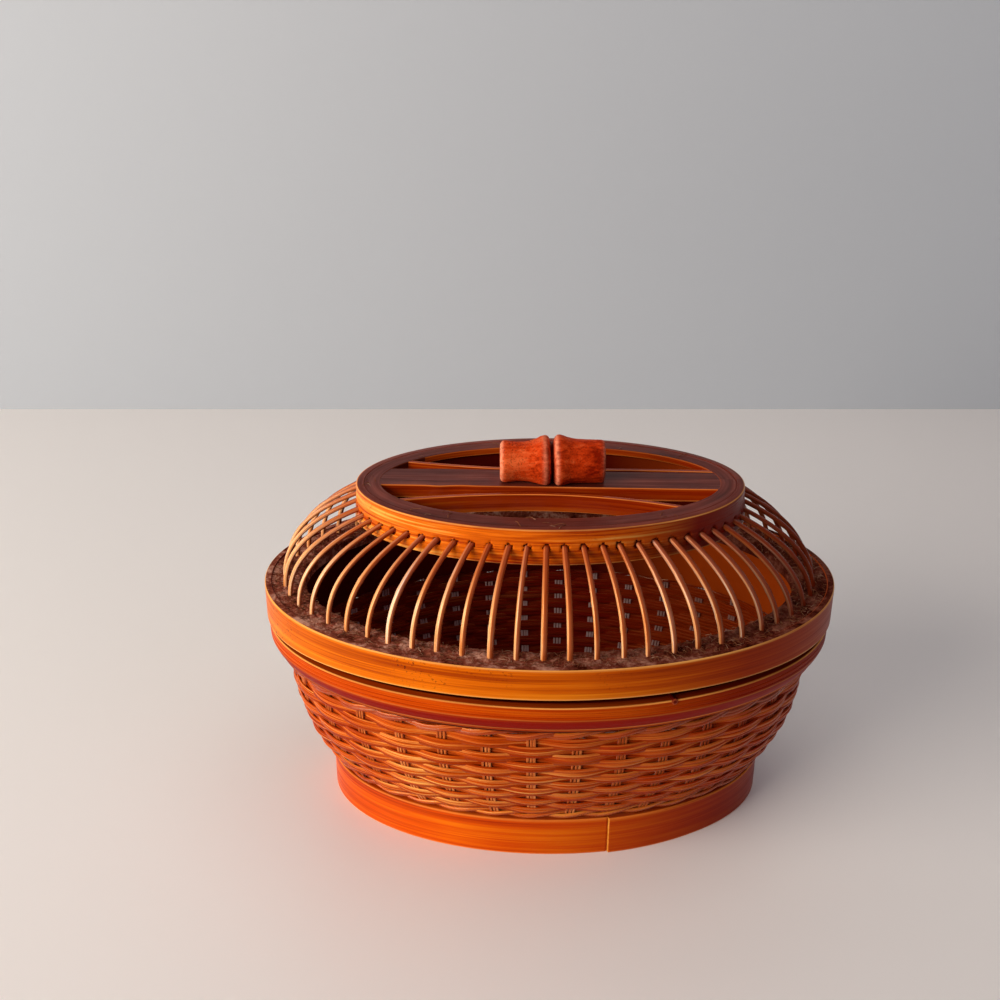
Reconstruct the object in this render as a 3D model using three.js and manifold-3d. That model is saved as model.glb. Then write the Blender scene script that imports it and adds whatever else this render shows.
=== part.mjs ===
// Oval bamboo basket with a lift-off cage lid
// Millimetres, +Z up, X along the oval's long axis, the front towards -Y.
import * as THREE from "three";
import { mergeVertices } from "three/addons/utils/BufferGeometryUtils.js";
import Module from "manifold-3d";

const wasm = await Module();
wasm.setup();

// Clearances
const TOUCH_GAP = 0.3;
const WEAVE_GAP = 0.4;
const STAKE_TO_HOOP_GAP = 0.7;
const LID_PLAY = 0.6;

// Foot
const FOOT_HALF_LENGTH = 79.6;
const FOOT_HALF_WIDTH = 47.9;
const FOOT_HEIGHT = 14.3;
const FOOT_OUTER_THICKNESS = 3.1;
const FOOT_INNER_THICKNESS = 2.8;
const FOOT_INNER_LIFT = 1.2;

// Woven wall, measured on its outer surface
const WALL_SET_IN = 0.25;
const WALL_FLARE_AT_ENDS = 13.9;
const WALL_FLARE_AT_SIDES = 13.9;
const WALL_HEIGHT = 47.6;
const WALL_BULGE = 1.35;
const WALL_HALF_THICKNESS = 1.7;
const WALL_LEAN_BEHIND_RIM = 0.09;
const WALL_LEVELS = 4;

// Stakes
const STAKE_COUNT = 32;
const LONG_STAKES_PER_SIDE = 3;
const STAKE_THICKNESS = 0.9;
const STAKE_WIDTH_IN_WALL = 3.6;
const STAKE_WIDTH_IN_BASE = 9;
const STAKE_TAPER_FROM = 5;
const STAKE_TAPER_LENGTH = 15;
const BASE_BEND = 2.2;

// Weavers
const ROW_COUNT = 12;
const ROW_GAP = 0.45;
const WEAVER_THICKNESS = 1;
const TWINE_THICKNESS = 1;
const TWINE_HEIGHT = 1.8;
const TWINE_ABOVE_FOOT = 0.85;
const TWINE_BELOW_RIM = 2.2;

// Rim
const RIM_STAND_OUT_AT_ENDS = 5.9;
const RIM_STAND_OUT_AT_SIDES = 5.9;
const RIM_HEIGHT = 10;
const RIM_OUTER_THICKNESS = 3.2;
const RIM_FLAT_HEIGHT = 5;
const RIM_PEG_RADIUS = 0.95;
const RIM_PEG_ANGLE = -68.3;
const RIM_PEG_DROP = 1.7;
const RIM_PEG_DEPTH_IN_CORE = 1.6;
const COLLAR_THICKNESS = 3;

// Lid ledge
const LID_OVERHANG_AT_ENDS = 0.7;
const LID_OVERHANG_AT_SIDES = 1.7;
const LID_TO_RIM_GAP = 3.7;
const LID_HOOP_HEIGHT = 10.6;
const LID_HOOP_THICKNESS = 2.5;
const LID_CORE_LIFT = 0.4;
const LID_DROP_OVER_COLLAR = 4.1;
const LEDGE_WIDTH_AT_ENDS = 14;
const LEDGE_WIDTH_AT_SIDES = 12.3;
const RIB_FOOT_INSET = 6.9;

// Ribs
const RIB_COUNT = 60;
const RIBS_PER_SET = 5;
const RIB_WIDTH = 1.7;
const RIB_THICKNESS = 1.1;
const RIB_STRIP_THICKNESS = 1.6;
const RIB_STRIP_TOP_DROP = 1;
const RIB_ENTRY_DROP = 4.6;
const RIB_IN_POCKET = 1.2;

// Top ring
const CAGE_HEIGHT = 34.1;
const RING_INSET_AT_ENDS = 26.5;
const RING_INSET_AT_SIDES = 19.1;
const RING_BAND_HEIGHT = 11.4;
const RING_BAND_THICKNESS = 2.7;
const RING_BAND_FLARE = 0.8;
const RING_WIDTH_AT_ENDS = 8.2;
const RING_WIDTH_AT_SIDES = 9.6;
const RING_CORE_HEIGHT = 9.8;

// Slat and braces; a brace is set out from the slat's edge at its nearest point, and the back
// one runs on beside the slat to the ring's right end
const SLAT_SEAT = 2.6;
const SLAT_WIDTH = 15.7;
const SLAT_THICKNESS = 5.5;
const SLAT_TURN = -2.2;
const SLAT_SHIFT = 1;
const BRACE_THICKNESS = 1.7;
const BRACE_HEIGHT = 6.2;
const BRACE_SEAT = 2;
const BRACE_STEPS = 7;
const FRONT_BRACE_LEFT_ANGLE = 210;
const FRONT_BRACE_RIGHT_ANGLE = 316.8;
const FRONT_BRACE_NEAREST_X = -8;
const FRONT_BRACE_FROM_SLAT = 5.3;
const BACK_BRACE_LEFT_ANGLE = 149.3;
const BACK_BRACE_NEAREST_X = 6;
const BACK_BRACE_FROM_SLAT = 0.45;

// Knob
const KNOB_LEFT_LENGTH = 17.2;
const KNOB_RIGHT_LENGTH = 18.4;
const KNOB_NODE_X = 0.4;
const KNOB_LEFT_RADIUS = 6.6;
const KNOB_RIGHT_RADIUS = 7.5;
const KNOB_NODE_RISE = 1.8;
const KNOB_GROOVE_DEPTH = 1.6;
const KNOB_GROOVE_HALF_WIDTH = 2.1;
const KNOB_PEG_RADIUS = 2.1;
const KNOB_PEG_ABOVE_SLAT = 5.5;

// The rib's curve from the ring to its foot: shares of the way out and of the way down
const RIB_CURVE = [
  [0, 0],
  [0.33, 0.14],
  [0.7, 0.39],
  [0.93, 0.7],
  [1, 1],
];

// Surfaces
const FOOT_LOOK = { color: 0xd0621c, roughness: 0.42 };
const RIM_LOOK = { color: 0xc05a1e, roughness: 0.4 };
const HIDDEN_LOOK = { color: 0x8a4a22, roughness: 0.6 };
const STAKE_LOOK = { color: 0xb8783c, roughness: 0.5 };
const WEAVER_LOOK = { color: 0x9c4f20, roughness: 0.45 };
const TWINE_LOOK = { color: 0xa85822, roughness: 0.45 };
const LID_HOOP_LOOK = { color: 0xc8832f, roughness: 0.42 };
const LEDGE_LOOK = { color: 0x4c2e1c, roughness: 0.85 };
const RIB_LOOK = { color: 0xb4702c, roughness: 0.4 };
const BAND_LOOK = { color: 0xb06a2a, roughness: 0.42 };
const RING_LOOK = { color: 0x5a3324, roughness: 0.55 };
const SLAT_LOOK = { color: 0x643824, roughness: 0.55 };
const KNOB_LOOK = { color: 0xc8481a, roughness: 0.5 };

const group = new THREE.Group();
group.name = "oval_basket";

function addPiece(name, geometry, look) {
  const material = new THREE.MeshStandardMaterial({ ...look, metalness: 0, name });
  const mesh = new THREE.Mesh(geometry, material);
  mesh.name = name;
  group.add(mesh);
}

// Ovals
function oval(a, b) {
  return { a, b };
}

function widened(base, atEnds, atSides) {
  return oval(base.a + atEnds, base.b + atSides);
}

function normalAt(base, t) {
  return new THREE.Vector3(base.b * Math.cos(t), base.a * Math.sin(t), 0).normalize();
}

function tangentAt(base, t) {
  return new THREE.Vector3(-base.a * Math.sin(t), base.b * Math.cos(t), 0).normalize();
}

function pointAt(base, t, offset, z) {
  const point = new THREE.Vector3(base.a * Math.cos(t), base.b * Math.sin(t), z);
  return point.addScaledVector(normalAt(base, t), offset);
}

// Angles that cut an oval into equal lengths; shift is counted in pieces
function evenAngles(base, count, shift) {
  const steps = 3600;
  const walked = [0];
  for (let i = 1; i <= steps; i++) {
    const t = (2 * Math.PI * (i - 0.5)) / steps;
    const speed = Math.hypot(base.a * Math.sin(t), base.b * Math.cos(t));
    walked.push(walked[i - 1] + (speed * 2 * Math.PI) / steps);
  }
  const angles = [];
  let at = 0;
  for (let k = 0; k < count; k++) {
    const goal = (walked[steps] * (k + shift)) / count;
    while (walked[at + 1] < goal) at += 1;
    const share = (goal - walked[at]) / (walked[at + 1] - walked[at]);
    angles.push((2 * Math.PI * (at + share)) / steps);
  }
  return angles;
}

// Closed bodies
function signedVolume(positions, index) {
  let total = 0;
  const a = new THREE.Vector3();
  const b = new THREE.Vector3();
  const c = new THREE.Vector3();
  for (let i = 0; i < index.length; i += 3) {
    a.fromArray(positions, index[i] * 3);
    b.fromArray(positions, index[i + 1] * 3);
    c.fromArray(positions, index[i + 2] * 3);
    total += a.dot(b.cross(c));
  }
  return total;
}

function closedBody(points, index) {
  const positions = points.flatMap((p) => [p.x, p.y, p.z]);
  const faces = [...index];
  if (signedVolume(positions, faces) < 0) faces.reverse();
  const geometry = new THREE.BufferGeometry();
  geometry.setAttribute("position", new THREE.Float32BufferAttribute(positions, 3));
  geometry.setIndex(faces);
  geometry.computeVertexNormals();
  return geometry;
}

function loft(sections, closed) {
  const count = sections.length;
  const size = sections[0].length;
  const index = [];
  const spans = closed ? count : count - 1;
  for (let i = 0; i < spans; i++) {
    const j = (i + 1) % count;
    for (let k = 0; k < size; k++) {
      const l = (k + 1) % size;
      index.push(i * size + k, j * size + k, j * size + l);
      index.push(i * size + k, j * size + l, i * size + l);
    }
  }
  const end = (count - 1) * size;
  for (let k = 1; k < size - 1 && !closed; k++) {
    index.push(0, k, k + 1);
    index.push(end, end + k + 1, end + k);
  }
  return closedBody(sections.flat(), index);
}

// A hoop from profile points, each with its own oval, offset and height
function hoop(profile, angles) {
  const sections = angles.map((t) => profile.map(([base, offset, z]) => pointAt(base, t, offset, z)));
  return loft(sections, true);
}

function bar(center, across, through) {
  return [
    center.clone().add(across).add(through),
    center.clone().sub(across).add(through),
    center.clone().sub(across).sub(through),
    center.clone().add(across).sub(through),
  ];
}

function solidOf(geometry) {
  const bare = geometry.clone();
  bare.deleteAttribute("normal");
  bare.deleteAttribute("uv");
  const merged = mergeVertices(bare, 1e-4);
  return new wasm.Manifold(
    new wasm.Mesh({
      numProp: 3,
      vertProperties: new Float32Array(merged.attributes.position.array),
      triVerts: new Uint32Array(merged.index.array),
    }),
  );
}

function geometryOf(solid) {
  const mesh = solid.getMesh();
  const geometry = new THREE.BufferGeometry();
  geometry.setAttribute("position", new THREE.BufferAttribute(mesh.vertProperties, 3));
  geometry.setIndex(new THREE.BufferAttribute(mesh.triVerts, 1));
  geometry.computeVertexNormals();
  return geometry;
}

function cut(geometry, ...tools) {
  let solid = solidOf(geometry);
  for (const tool of tools) solid = solid.subtract(solidOf(tool));
  return geometryOf(solid);
}

function join(geometries) {
  let solid = solidOf(geometries[0]);
  for (const geometry of geometries.slice(1)) solid = solid.add(solidOf(geometry));
  return geometryOf(solid);
}

// A strip on edge that follows plan points
function edgeStrip(points, thickness, low, high) {
  const sections = points.map(([x, y], i) => {
    const before = points[Math.max(i - 1, 0)];
    const after = points[Math.min(i + 1, points.length - 1)];
    const along = new THREE.Vector3(after[0] - before[0], after[1] - before[1], 0).normalize();
    const across = new THREE.Vector3(-along.y, along.x, 0).multiplyScalar(thickness / 2);
    const up = new THREE.Vector3(0, 0, (high - low) / 2);
    return bar(new THREE.Vector3(x, y, (low + high) / 2), across, up);
  });
  return loft(sections, false);
}

function pin(radius, length, sides) {
  return new THREE.CylinderGeometry(radius, radius, length, sides);
}

// Ovals from the foot up, and heights from the table up
const footOval = oval(FOOT_HALF_LENGTH, FOOT_HALF_WIDTH);
const wallFootOval = widened(footOval, -WALL_SET_IN, -WALL_SET_IN);
const wallTopOval = widened(wallFootOval, WALL_FLARE_AT_ENDS, WALL_FLARE_AT_SIDES);
const rimOval = widened(wallTopOval, RIM_STAND_OUT_AT_ENDS, RIM_STAND_OUT_AT_SIDES);
const lidOval = widened(rimOval, LID_OVERHANG_AT_ENDS, LID_OVERHANG_AT_SIDES);
const ribFootOval = widened(lidOval, -RIB_FOOT_INSET, -RIB_FOOT_INSET);
const ledgeOval = widened(lidOval, -LEDGE_WIDTH_AT_ENDS, -LEDGE_WIDTH_AT_SIDES);
const ringOval = widened(ribFootOval, -RING_INSET_AT_ENDS, -RING_INSET_AT_SIDES);
const ringInnerOval = widened(ringOval, -RING_WIDTH_AT_ENDS, -RING_WIDTH_AT_SIDES);
const baseHeight = FOOT_HEIGHT + TOUCH_GAP + 0.05 + STAKE_THICKNESS / 2;
const bendTop = baseHeight + BASE_BEND;
const rimBottom = FOOT_HEIGHT + WALL_HEIGHT;
const rimCoreBottom = rimBottom + TOUCH_GAP;
const rimTop = rimBottom + RIM_HEIGHT;
const stakeTop = rimTop - TOUCH_GAP;
const lidBottom = rimTop + LID_TO_RIM_GAP;
const lidTop = lidBottom + LID_HOOP_HEIGHT;
const collarTop = lidBottom + LID_DROP_OVER_COLLAR;
const lidSeat = collarTop + TOUCH_GAP;
const ringTop = lidTop + CAGE_HEIGHT;
const bandBottom = ringTop - RING_BAND_HEIGHT;
const ribEntry = ringTop - RIB_ENTRY_DROP;
const slatBottom = ringTop - SLAT_THICKNESS;
const braceBottom = ringTop - BRACE_HEIGHT;

// The surface that the stakes' middles stand on
function smoothWall(z) {
  const s = (Math.min(z, rimBottom) - FOOT_HEIGHT) / WALL_HEIGHT;
  const share = s + WALL_BULGE * s * (1 - s);
  const more = Math.max(z - rimBottom, 0) * WALL_LEAN_BEHIND_RIM - WALL_HALF_THICKNESS;
  return widened(
    wallFootOval,
    WALL_FLARE_AT_ENDS * share + more,
    WALL_FLARE_AT_SIDES * share + more,
  );
}

const wallHeights = [baseHeight, bendTop];
for (let i = 1; i <= WALL_LEVELS; i++) {
  wallHeights.push(bendTop + ((rimCoreBottom - bendTop) * i) / WALL_LEVELS);
}
wallHeights.push(stakeTop);

function wallAt(z) {
  let i = 0;
  while (i < wallHeights.length - 2 && z > wallHeights[i + 1]) i += 1;
  const low = smoothWall(wallHeights[i]);
  const high = smoothWall(wallHeights[i + 1]);
  const share = (z - wallHeights[i]) / (wallHeights[i + 1] - wallHeights[i]);
  return oval(low.a + (high.a - low.a) * share, low.b + (high.b - low.b) * share);
}

// Heights that cut a part of the wall into equal lengths up its slope
function slopeHeights(low, high, count) {
  const steps = 400;
  const walked = [0];
  for (let i = 1; i <= steps; i++) {
    const z = low + ((high - low) * i) / steps;
    const back = low + ((high - low) * (i - 1)) / steps;
    walked.push(walked[i - 1] + Math.hypot(z - back, wallAt(z).b - wallAt(back).b));
  }
  const heights = [];
  for (let k = 0; k <= count; k++) {
    const goal = (walked[steps] * k) / count;
    let at = 0;
    while (at < steps - 1 && walked[at + 1] < goal) at += 1;
    const share = (goal - walked[at]) / (walked[at + 1] - walked[at]);
    heights.push(low + ((high - low) * (at + share)) / steps);
  }
  return heights;
}

const baseOval = wallAt(baseHeight);
const stakeAngles = evenAngles(baseOval, STAKE_COUNT, 0.5);
const hoopAngles = evenAngles(footOval, 48, 0);

// Foot hoops
addPiece(
  "foot_outer_hoop",
  hoop(
    [
      [footOval, 0, 0],
      [footOval, 0, FOOT_HEIGHT],
      [footOval, -FOOT_OUTER_THICKNESS, FOOT_HEIGHT],
      [footOval, -FOOT_OUTER_THICKNESS, 0],
    ],
    hoopAngles,
  ),
  FOOT_LOOK,
);
const footInnerOuter = -FOOT_OUTER_THICKNESS - TOUCH_GAP;
addPiece(
  "foot_inner_hoop",
  hoop(
    [
      [footOval, footInnerOuter, FOOT_INNER_LIFT],
      [footOval, footInnerOuter, FOOT_HEIGHT],
      [footOval, footInnerOuter - FOOT_INNER_THICKNESS, FOOT_HEIGHT],
      [footOval, footInnerOuter - FOOT_INNER_THICKNESS, FOOT_INNER_LIFT],
    ],
    hoopAngles,
  ),
  HIDDEN_LOOK,
);

// Stakes: strips that cross the base and stand up in the wall at both ends
function stakeWidth(fromEnd) {
  const share = THREE.MathUtils.clamp((fromEnd - STAKE_TAPER_FROM) / STAKE_TAPER_LENGTH, 0, 1);
  return STAKE_WIDTH_IN_WALL + (STAKE_WIDTH_IN_BASE - STAKE_WIDTH_IN_WALL) * share;
}

// One upright end from its top down to the base; along points outwards in the base
function uprightEnd(t, across, along) {
  const tangent = tangentAt(baseOval, t);
  if (tangent.dot(across) < 0) tangent.negate();
  const inward = normalAt(baseOval, t).negate();
  const halfWidth = STAKE_WIDTH_IN_WALL / 2;
  const halfThick = STAKE_THICKNESS / 2;
  const sections = [];
  for (let i = wallHeights.length - 1; i >= 1; i--) {
    const z = wallHeights[i];
    const center = pointAt(wallAt(z), t, 0, z);
    const side = tangent.clone().multiplyScalar(halfWidth);
    sections.push(bar(center, side, inward.clone().multiplyScalar(halfThick)));
  }
  const corner = pointAt(baseOval, t, 0, baseHeight);
  const up = new THREE.Vector3(0, 0, 1);
  const middle = corner.clone().addScaledVector(along, -0.25);
  middle.z += BASE_BEND * 0.22;
  const middleSide = tangent.clone().add(across).normalize().multiplyScalar(halfWidth);
  const middleIn = up.clone().multiplyScalar(1.4).add(inward).normalize();
  sections.push(bar(middle, middleSide, middleIn.multiplyScalar(halfThick)));
  const start = corner.clone().addScaledVector(along, -BASE_BEND);
  const startSide = across.clone().multiplyScalar(halfWidth);
  sections.push(bar(start, startSide, up.clone().multiplyScalar(halfThick)));
  return { sections, corner };
}

function stake(tStart, tEnd, across, along, baseSections) {
  const first = uprightEnd(tStart, across, along.clone().negate());
  const last = uprightEnd(tEnd, across, along);
  const middle = baseSections(first.corner, last.corner);
  return loft([...first.sections, ...middle, ...last.sections.reverse()], false);
}

function baseSection(x, y, z, across, width) {
  const side = across.clone().multiplyScalar(width / 2);
  return bar(new THREE.Vector3(x, y, z), side, new THREE.Vector3(0, 0, STAKE_THICKNESS / 2));
}

const alongX = new THREE.Vector3(1, 0, 0);
const alongY = new THREE.Vector3(0, 1, 0);
const half = STAKE_COUNT / 2;
const crossFrom = LONG_STAKES_PER_SIDE;
const crossCount = half - 2 * LONG_STAKES_PER_SIDE;
const crossStakes = [];
for (let i = 0; i < crossCount; i++) {
  const k = half - 1 - crossFrom - i;
  const corner = pointAt(baseOval, stakeAngles[k], 0, baseHeight);
  crossStakes.push({ k, x: corner.x, end: corner.y });
}
crossStakes.forEach(({ k, x, end }, i) => {
  const geometry = stake(stakeAngles[STAKE_COUNT - 1 - k], stakeAngles[k], alongX, alongY, () => {
    const full = end - STAKE_TAPER_FROM - STAKE_TAPER_LENGTH;
    const slim = end - STAKE_TAPER_FROM;
    const stations = full > 0 ? [-slim, -full, full, slim] : [-slim, 0, slim];
    return stations.map((y) =>
      baseSection(x, y, baseHeight, alongX, stakeWidth(end - Math.abs(y))),
    );
  });
  addPiece("cross_stake_" + String(i + 1).padStart(2, "0"), geometry, STAKE_LOOK);
});

// The long stakes pass over and under the cross stakes
const longLift = STAKE_THICKNESS + TOUCH_GAP + 0.05;

// Half the width of a cross stake where a long stake at y starts to rise, with room to spare
function crossReach(end, y) {
  const widest = end - Math.max(Math.abs(y) - STAKE_WIDTH_IN_BASE / 2, 0);
  return stakeWidth(widest) / 2 + WEAVE_GAP;
}

const longKs = [];
for (let i = LONG_STAKES_PER_SIDE - 1; i >= 0; i--) longKs.push(STAKE_COUNT - 1 - i);
for (let i = 0; i < LONG_STAKES_PER_SIDE; i++) longKs.push(i);
longKs.forEach((k, row) => {
  const partner = (half - 1 - k + STAKE_COUNT) % STAKE_COUNT;
  const outermost = row === 0 || row === longKs.length - 1;
  const geometry = stake(stakeAngles[partner], stakeAngles[k], alongY, alongX, (_, last) => {
    const y = last.y;
    const sections = [];
    crossStakes.forEach(({ x, end }, i) => {
      const reach = crossReach(end, y);
      const atEnd = outermost && (i === 0 || i === crossCount - 1);
      const sign = atEnd || (i + row) % 2 === 0 ? 1 : -1;
      const z = baseHeight + sign * longLift;
      for (const side of [-1, 1]) {
        const at = x + side * reach;
        sections.push(baseSection(at, y, z, alongY, stakeWidth(last.x - Math.abs(at))));
      }
    });
    const outer = crossReach(crossStakes[0].end, y) - crossStakes[0].x;
    const room = last.x - BASE_BEND - outer;
    const settled = outer + Math.min(2, 0.7 * room);
    const width = stakeWidth(last.x - settled);
    sections.unshift(baseSection(-settled, y, baseHeight, alongY, width));
    sections.push(baseSection(settled, y, baseHeight, alongY, width));
    return sections;
  });
  addPiece("long_stake_" + String(row + 1).padStart(2, "0"), geometry, STAKE_LOOK);
});

// Weavers: a ring that passes the stakes outside and inside by turns
const stakeReach = STAKE_WIDTH_IN_WALL / 2 + 0.1;

function passOffset(base, k, need, outside, crossing) {
  const t = stakeAngles[k];
  const next = stakeAngles[(k + 1) % STAKE_COUNT];
  const chord = pointAt(base, next, 0, 0).sub(pointAt(base, t, 0, 0));
  const falls = -chord.dot(normalAt(base, t)) / chord.dot(tangentAt(base, t));
  const turned = stakeReach * falls * (outside ? 1 : -1);
  const share = (2 * stakeReach) / chord.length();
  return (need + turned + crossing * share) / (1 - share);
}

function weaverRow(low, high, phase) {
  const need = (STAKE_THICKNESS + WEAVER_THICKNESS) / 2 + WEAVE_GAP;
  const sections = stakeAngles.map((t, k) => {
    const outside = (k + phase) % 2 === 0;
    const size = passOffset(wallAt(low), k, need, outside, 0);
    const offset = outside ? size : -size;
    const thick = WEAVER_THICKNESS / 2;
    return [
      pointAt(wallAt(low), t, offset + thick, low),
      pointAt(wallAt(high), t, offset + thick, high),
      pointAt(wallAt(high), t, offset - thick, high),
      pointAt(wallAt(low), t, offset - thick, low),
    ];
  });
  return loft(sections, true);
}

// Twined strands: two that change places between the stakes
const twineLift = TWINE_HEIGHT + TOUCH_GAP + 0.05;
const twineCrossing = (TWINE_THICKNESS + TOUCH_GAP) / 2 + 0.03;
const twineNeed = (STAKE_THICKNESS + TWINE_THICKNESS) / 2 + WEAVE_GAP;

function twineStrand(low, phase) {
  const half = TWINE_HEIGHT / 2;
  const thick = TWINE_THICKNESS / 2;
  const sections = [];
  stakeAngles.forEach((t, k) => {
    const outside = (k + phase) % 2 === 0;
    const outHeight = low + half;
    const inHeight = outHeight + twineLift;
    const base = wallAt(outside ? outHeight : inHeight);
    const size = passOffset(base, k, twineNeed, outside, twineCrossing);
    const nextT = k + 1 < STAKE_COUNT ? stakeAngles[k + 1] : stakeAngles[0] + 2 * Math.PI;
    const stations = [
      [t, outside ? size : -size, outside ? outHeight : inHeight],
      [
        (t + nextT) / 2,
        outside ? twineCrossing : -twineCrossing,
        outside ? inHeight : outHeight,
      ],
    ];
    for (const [angle, offset, z] of stations) {
      const under = wallAt(Math.max(z - half, baseHeight));
      const over = wallAt(z + half);
      sections.push([
        pointAt(under, angle, offset + thick, z - half),
        pointAt(over, angle, offset + thick, z + half),
        pointAt(over, angle, offset - thick, z + half),
        pointAt(under, angle, offset - thick, z - half),
      ]);
    }
  });
  return loft(sections, true);
}

const twineTotal = TWINE_HEIGHT + twineLift;
const lowerTwineBottom = FOOT_HEIGHT + TWINE_ABOVE_FOOT;
const upperTwineBottom = rimBottom - TWINE_BELOW_RIM - twineTotal;
addPiece("lower_twine_a", twineStrand(lowerTwineBottom, 0), TWINE_LOOK);
addPiece("lower_twine_b", twineStrand(lowerTwineBottom, 1), TWINE_LOOK);
addPiece("upper_twine_a", twineStrand(upperTwineBottom, 0), TWINE_LOOK);
addPiece("upper_twine_b", twineStrand(upperTwineBottom, 1), TWINE_LOOK);

const rowHeights = slopeHeights(
  lowerTwineBottom + twineTotal + ROW_GAP / 2,
  upperTwineBottom - ROW_GAP / 2,
  ROW_COUNT,
);
for (let i = 0; i < ROW_COUNT; i++) {
  const low = rowHeights[i] + ROW_GAP / 2;
  const high = rowHeights[i + 1] - ROW_GAP / 2;
  addPiece("weaver_row_" + String(i + 1).padStart(2, "0"), weaverRow(low, high, i % 2), WEAVER_LOOK);
}

// Rim: outer hoop, core against the stakes, and the collar that carries the lid
const stakeFace = STAKE_THICKNESS / 2 + STAKE_TO_HOOP_GAP;
const rimOuter = hoop(
  [
    [rimOval, 0, rimTop],
    [rimOval, 0, rimTop - RIM_FLAT_HEIGHT],
    [rimOval, -RIM_OUTER_THICKNESS * 0.28, (rimBottom + rimTop - RIM_FLAT_HEIGHT) / 2 - 0.3],
    [rimOval, -RIM_OUTER_THICKNESS * 0.8, rimBottom],
    [rimOval, -RIM_OUTER_THICKNESS, rimBottom],
    [rimOval, -RIM_OUTER_THICKNESS, rimTop],
  ],
  hoopAngles,
);
const rimCoreOuter = -RIM_OUTER_THICKNESS - TOUCH_GAP;
const rimCore = hoop(
  [
    [rimOval, rimCoreOuter, rimCoreBottom],
    [rimOval, rimCoreOuter, rimTop],
    [wallAt(stakeTop), stakeFace, rimTop],
    [wallAt(rimCoreBottom), stakeFace, rimCoreBottom],
  ],
  hoopAngles,
);
const pegAngle = THREE.MathUtils.degToRad(RIM_PEG_ANGLE);
const pegLength = RIM_OUTER_THICKNESS + TOUCH_GAP + RIM_PEG_DEPTH_IN_CORE;

function rimPeg(radius, inner, outer) {
  const peg = pin(radius, outer - inner, 10);
  peg.rotateZ(-Math.PI / 2);
  peg.translate((outer + inner) / 2, 0, 0);
  const out = normalAt(rimOval, pegAngle);
  peg.rotateZ(Math.atan2(out.y, out.x));
  const at = pointAt(rimOval, pegAngle, 0, rimTop - RIM_PEG_DROP);
  peg.translate(at.x, at.y, at.z);
  return peg;
}

const pegHole = rimPeg(RIM_PEG_RADIUS + TOUCH_GAP, -pegLength - TOUCH_GAP, 2);
addPiece("rim_outer_hoop", cut(rimOuter, pegHole), RIM_LOOK);
addPiece("rim_core_hoop", cut(rimCore, pegHole), HIDDEN_LOOK);
addPiece("rim_peg", rimPeg(RIM_PEG_RADIUS, -pegLength, 0.3), HIDDEN_LOOK);

const slotHalf = RIB_STRIP_THICKNESS / 2 + TOUCH_GAP;
const collarShelf = rimTop + TOUCH_GAP;
const collarInner = -stakeFace - COLLAR_THICKNESS;
const collarOuter = slotHalf - LID_PLAY;
addPiece(
  "rim_collar",
  hoop(
    [
      [wallAt(rimCoreBottom), -stakeFace, rimCoreBottom],
      [wallAt(stakeTop), -stakeFace, collarShelf],
      [ribFootOval, collarOuter, collarShelf],
      [ribFootOval, collarOuter, collarTop],
      [wallAt(stakeTop), collarInner, collarTop],
      [wallAt(rimCoreBottom), collarInner, rimCoreBottom],
    ],
    hoopAngles,
  ),
  HIDDEN_LOOK,
);

// Lid ledge: outer hoop and two coiled hoops with the rib strips between them
const ribAngles = evenAngles(ribFootOval, RIB_COUNT, 0.5);
const lidCoreOuter = -LID_HOOP_THICKNESS - TOUCH_GAP;
addPiece(
  "lid_hoop",
  hoop(
    [
      [lidOval, 0, lidBottom],
      [lidOval, 0, lidTop],
      [lidOval, -LID_HOOP_THICKNESS, lidTop],
      [lidOval, -LID_HOOP_THICKNESS, lidBottom],
    ],
    ribAngles,
  ),
  LID_HOOP_LOOK,
);
addPiece(
  "lid_core_outer",
  hoop(
    [
      [lidOval, lidCoreOuter, lidBottom + LID_CORE_LIFT],
      [lidOval, lidCoreOuter, lidTop],
      [ribFootOval, slotHalf, lidTop],
      [ribFootOval, slotHalf, lidBottom + LID_CORE_LIFT],
    ],
    ribAngles,
  ),
  LEDGE_LOOK,
);
addPiece(
  "lid_core_inner",
  hoop(
    [
      [ribFootOval, -slotHalf, lidSeat],
      [ribFootOval, -slotHalf, lidTop],
      [ledgeOval, 0, lidTop],
      [ledgeOval, 0, lidSeat],
    ],
    ribAngles,
  ),
  LEDGE_LOOK,
);

// Top ring: a band with a pocket for each rib's end, round a thick core
const ringAngles = ribAngles.map((t, i) => {
  const next = i + 1 < RIB_COUNT ? ribAngles[i + 1] : ribAngles[0] + 2 * Math.PI;
  return (t + next) / 2;
});

// The middle of the facet that rib k enters, and the directions across and out of it
function facetAt(k, z) {
  const share = (ringTop - z) / RING_BAND_HEIGHT;
  const first = pointAt(ringOval, ringAngles[(k + RIB_COUNT - 1) % RIB_COUNT], share * RING_BAND_FLARE, z);
  const last = pointAt(ringOval, ringAngles[k], share * RING_BAND_FLARE, z);
  const across = last.clone().sub(first).normalize();
  const out = new THREE.Vector3(across.y, -across.x, 0);
  return { center: first.add(last).multiplyScalar(0.5), across, out };
}

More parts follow.
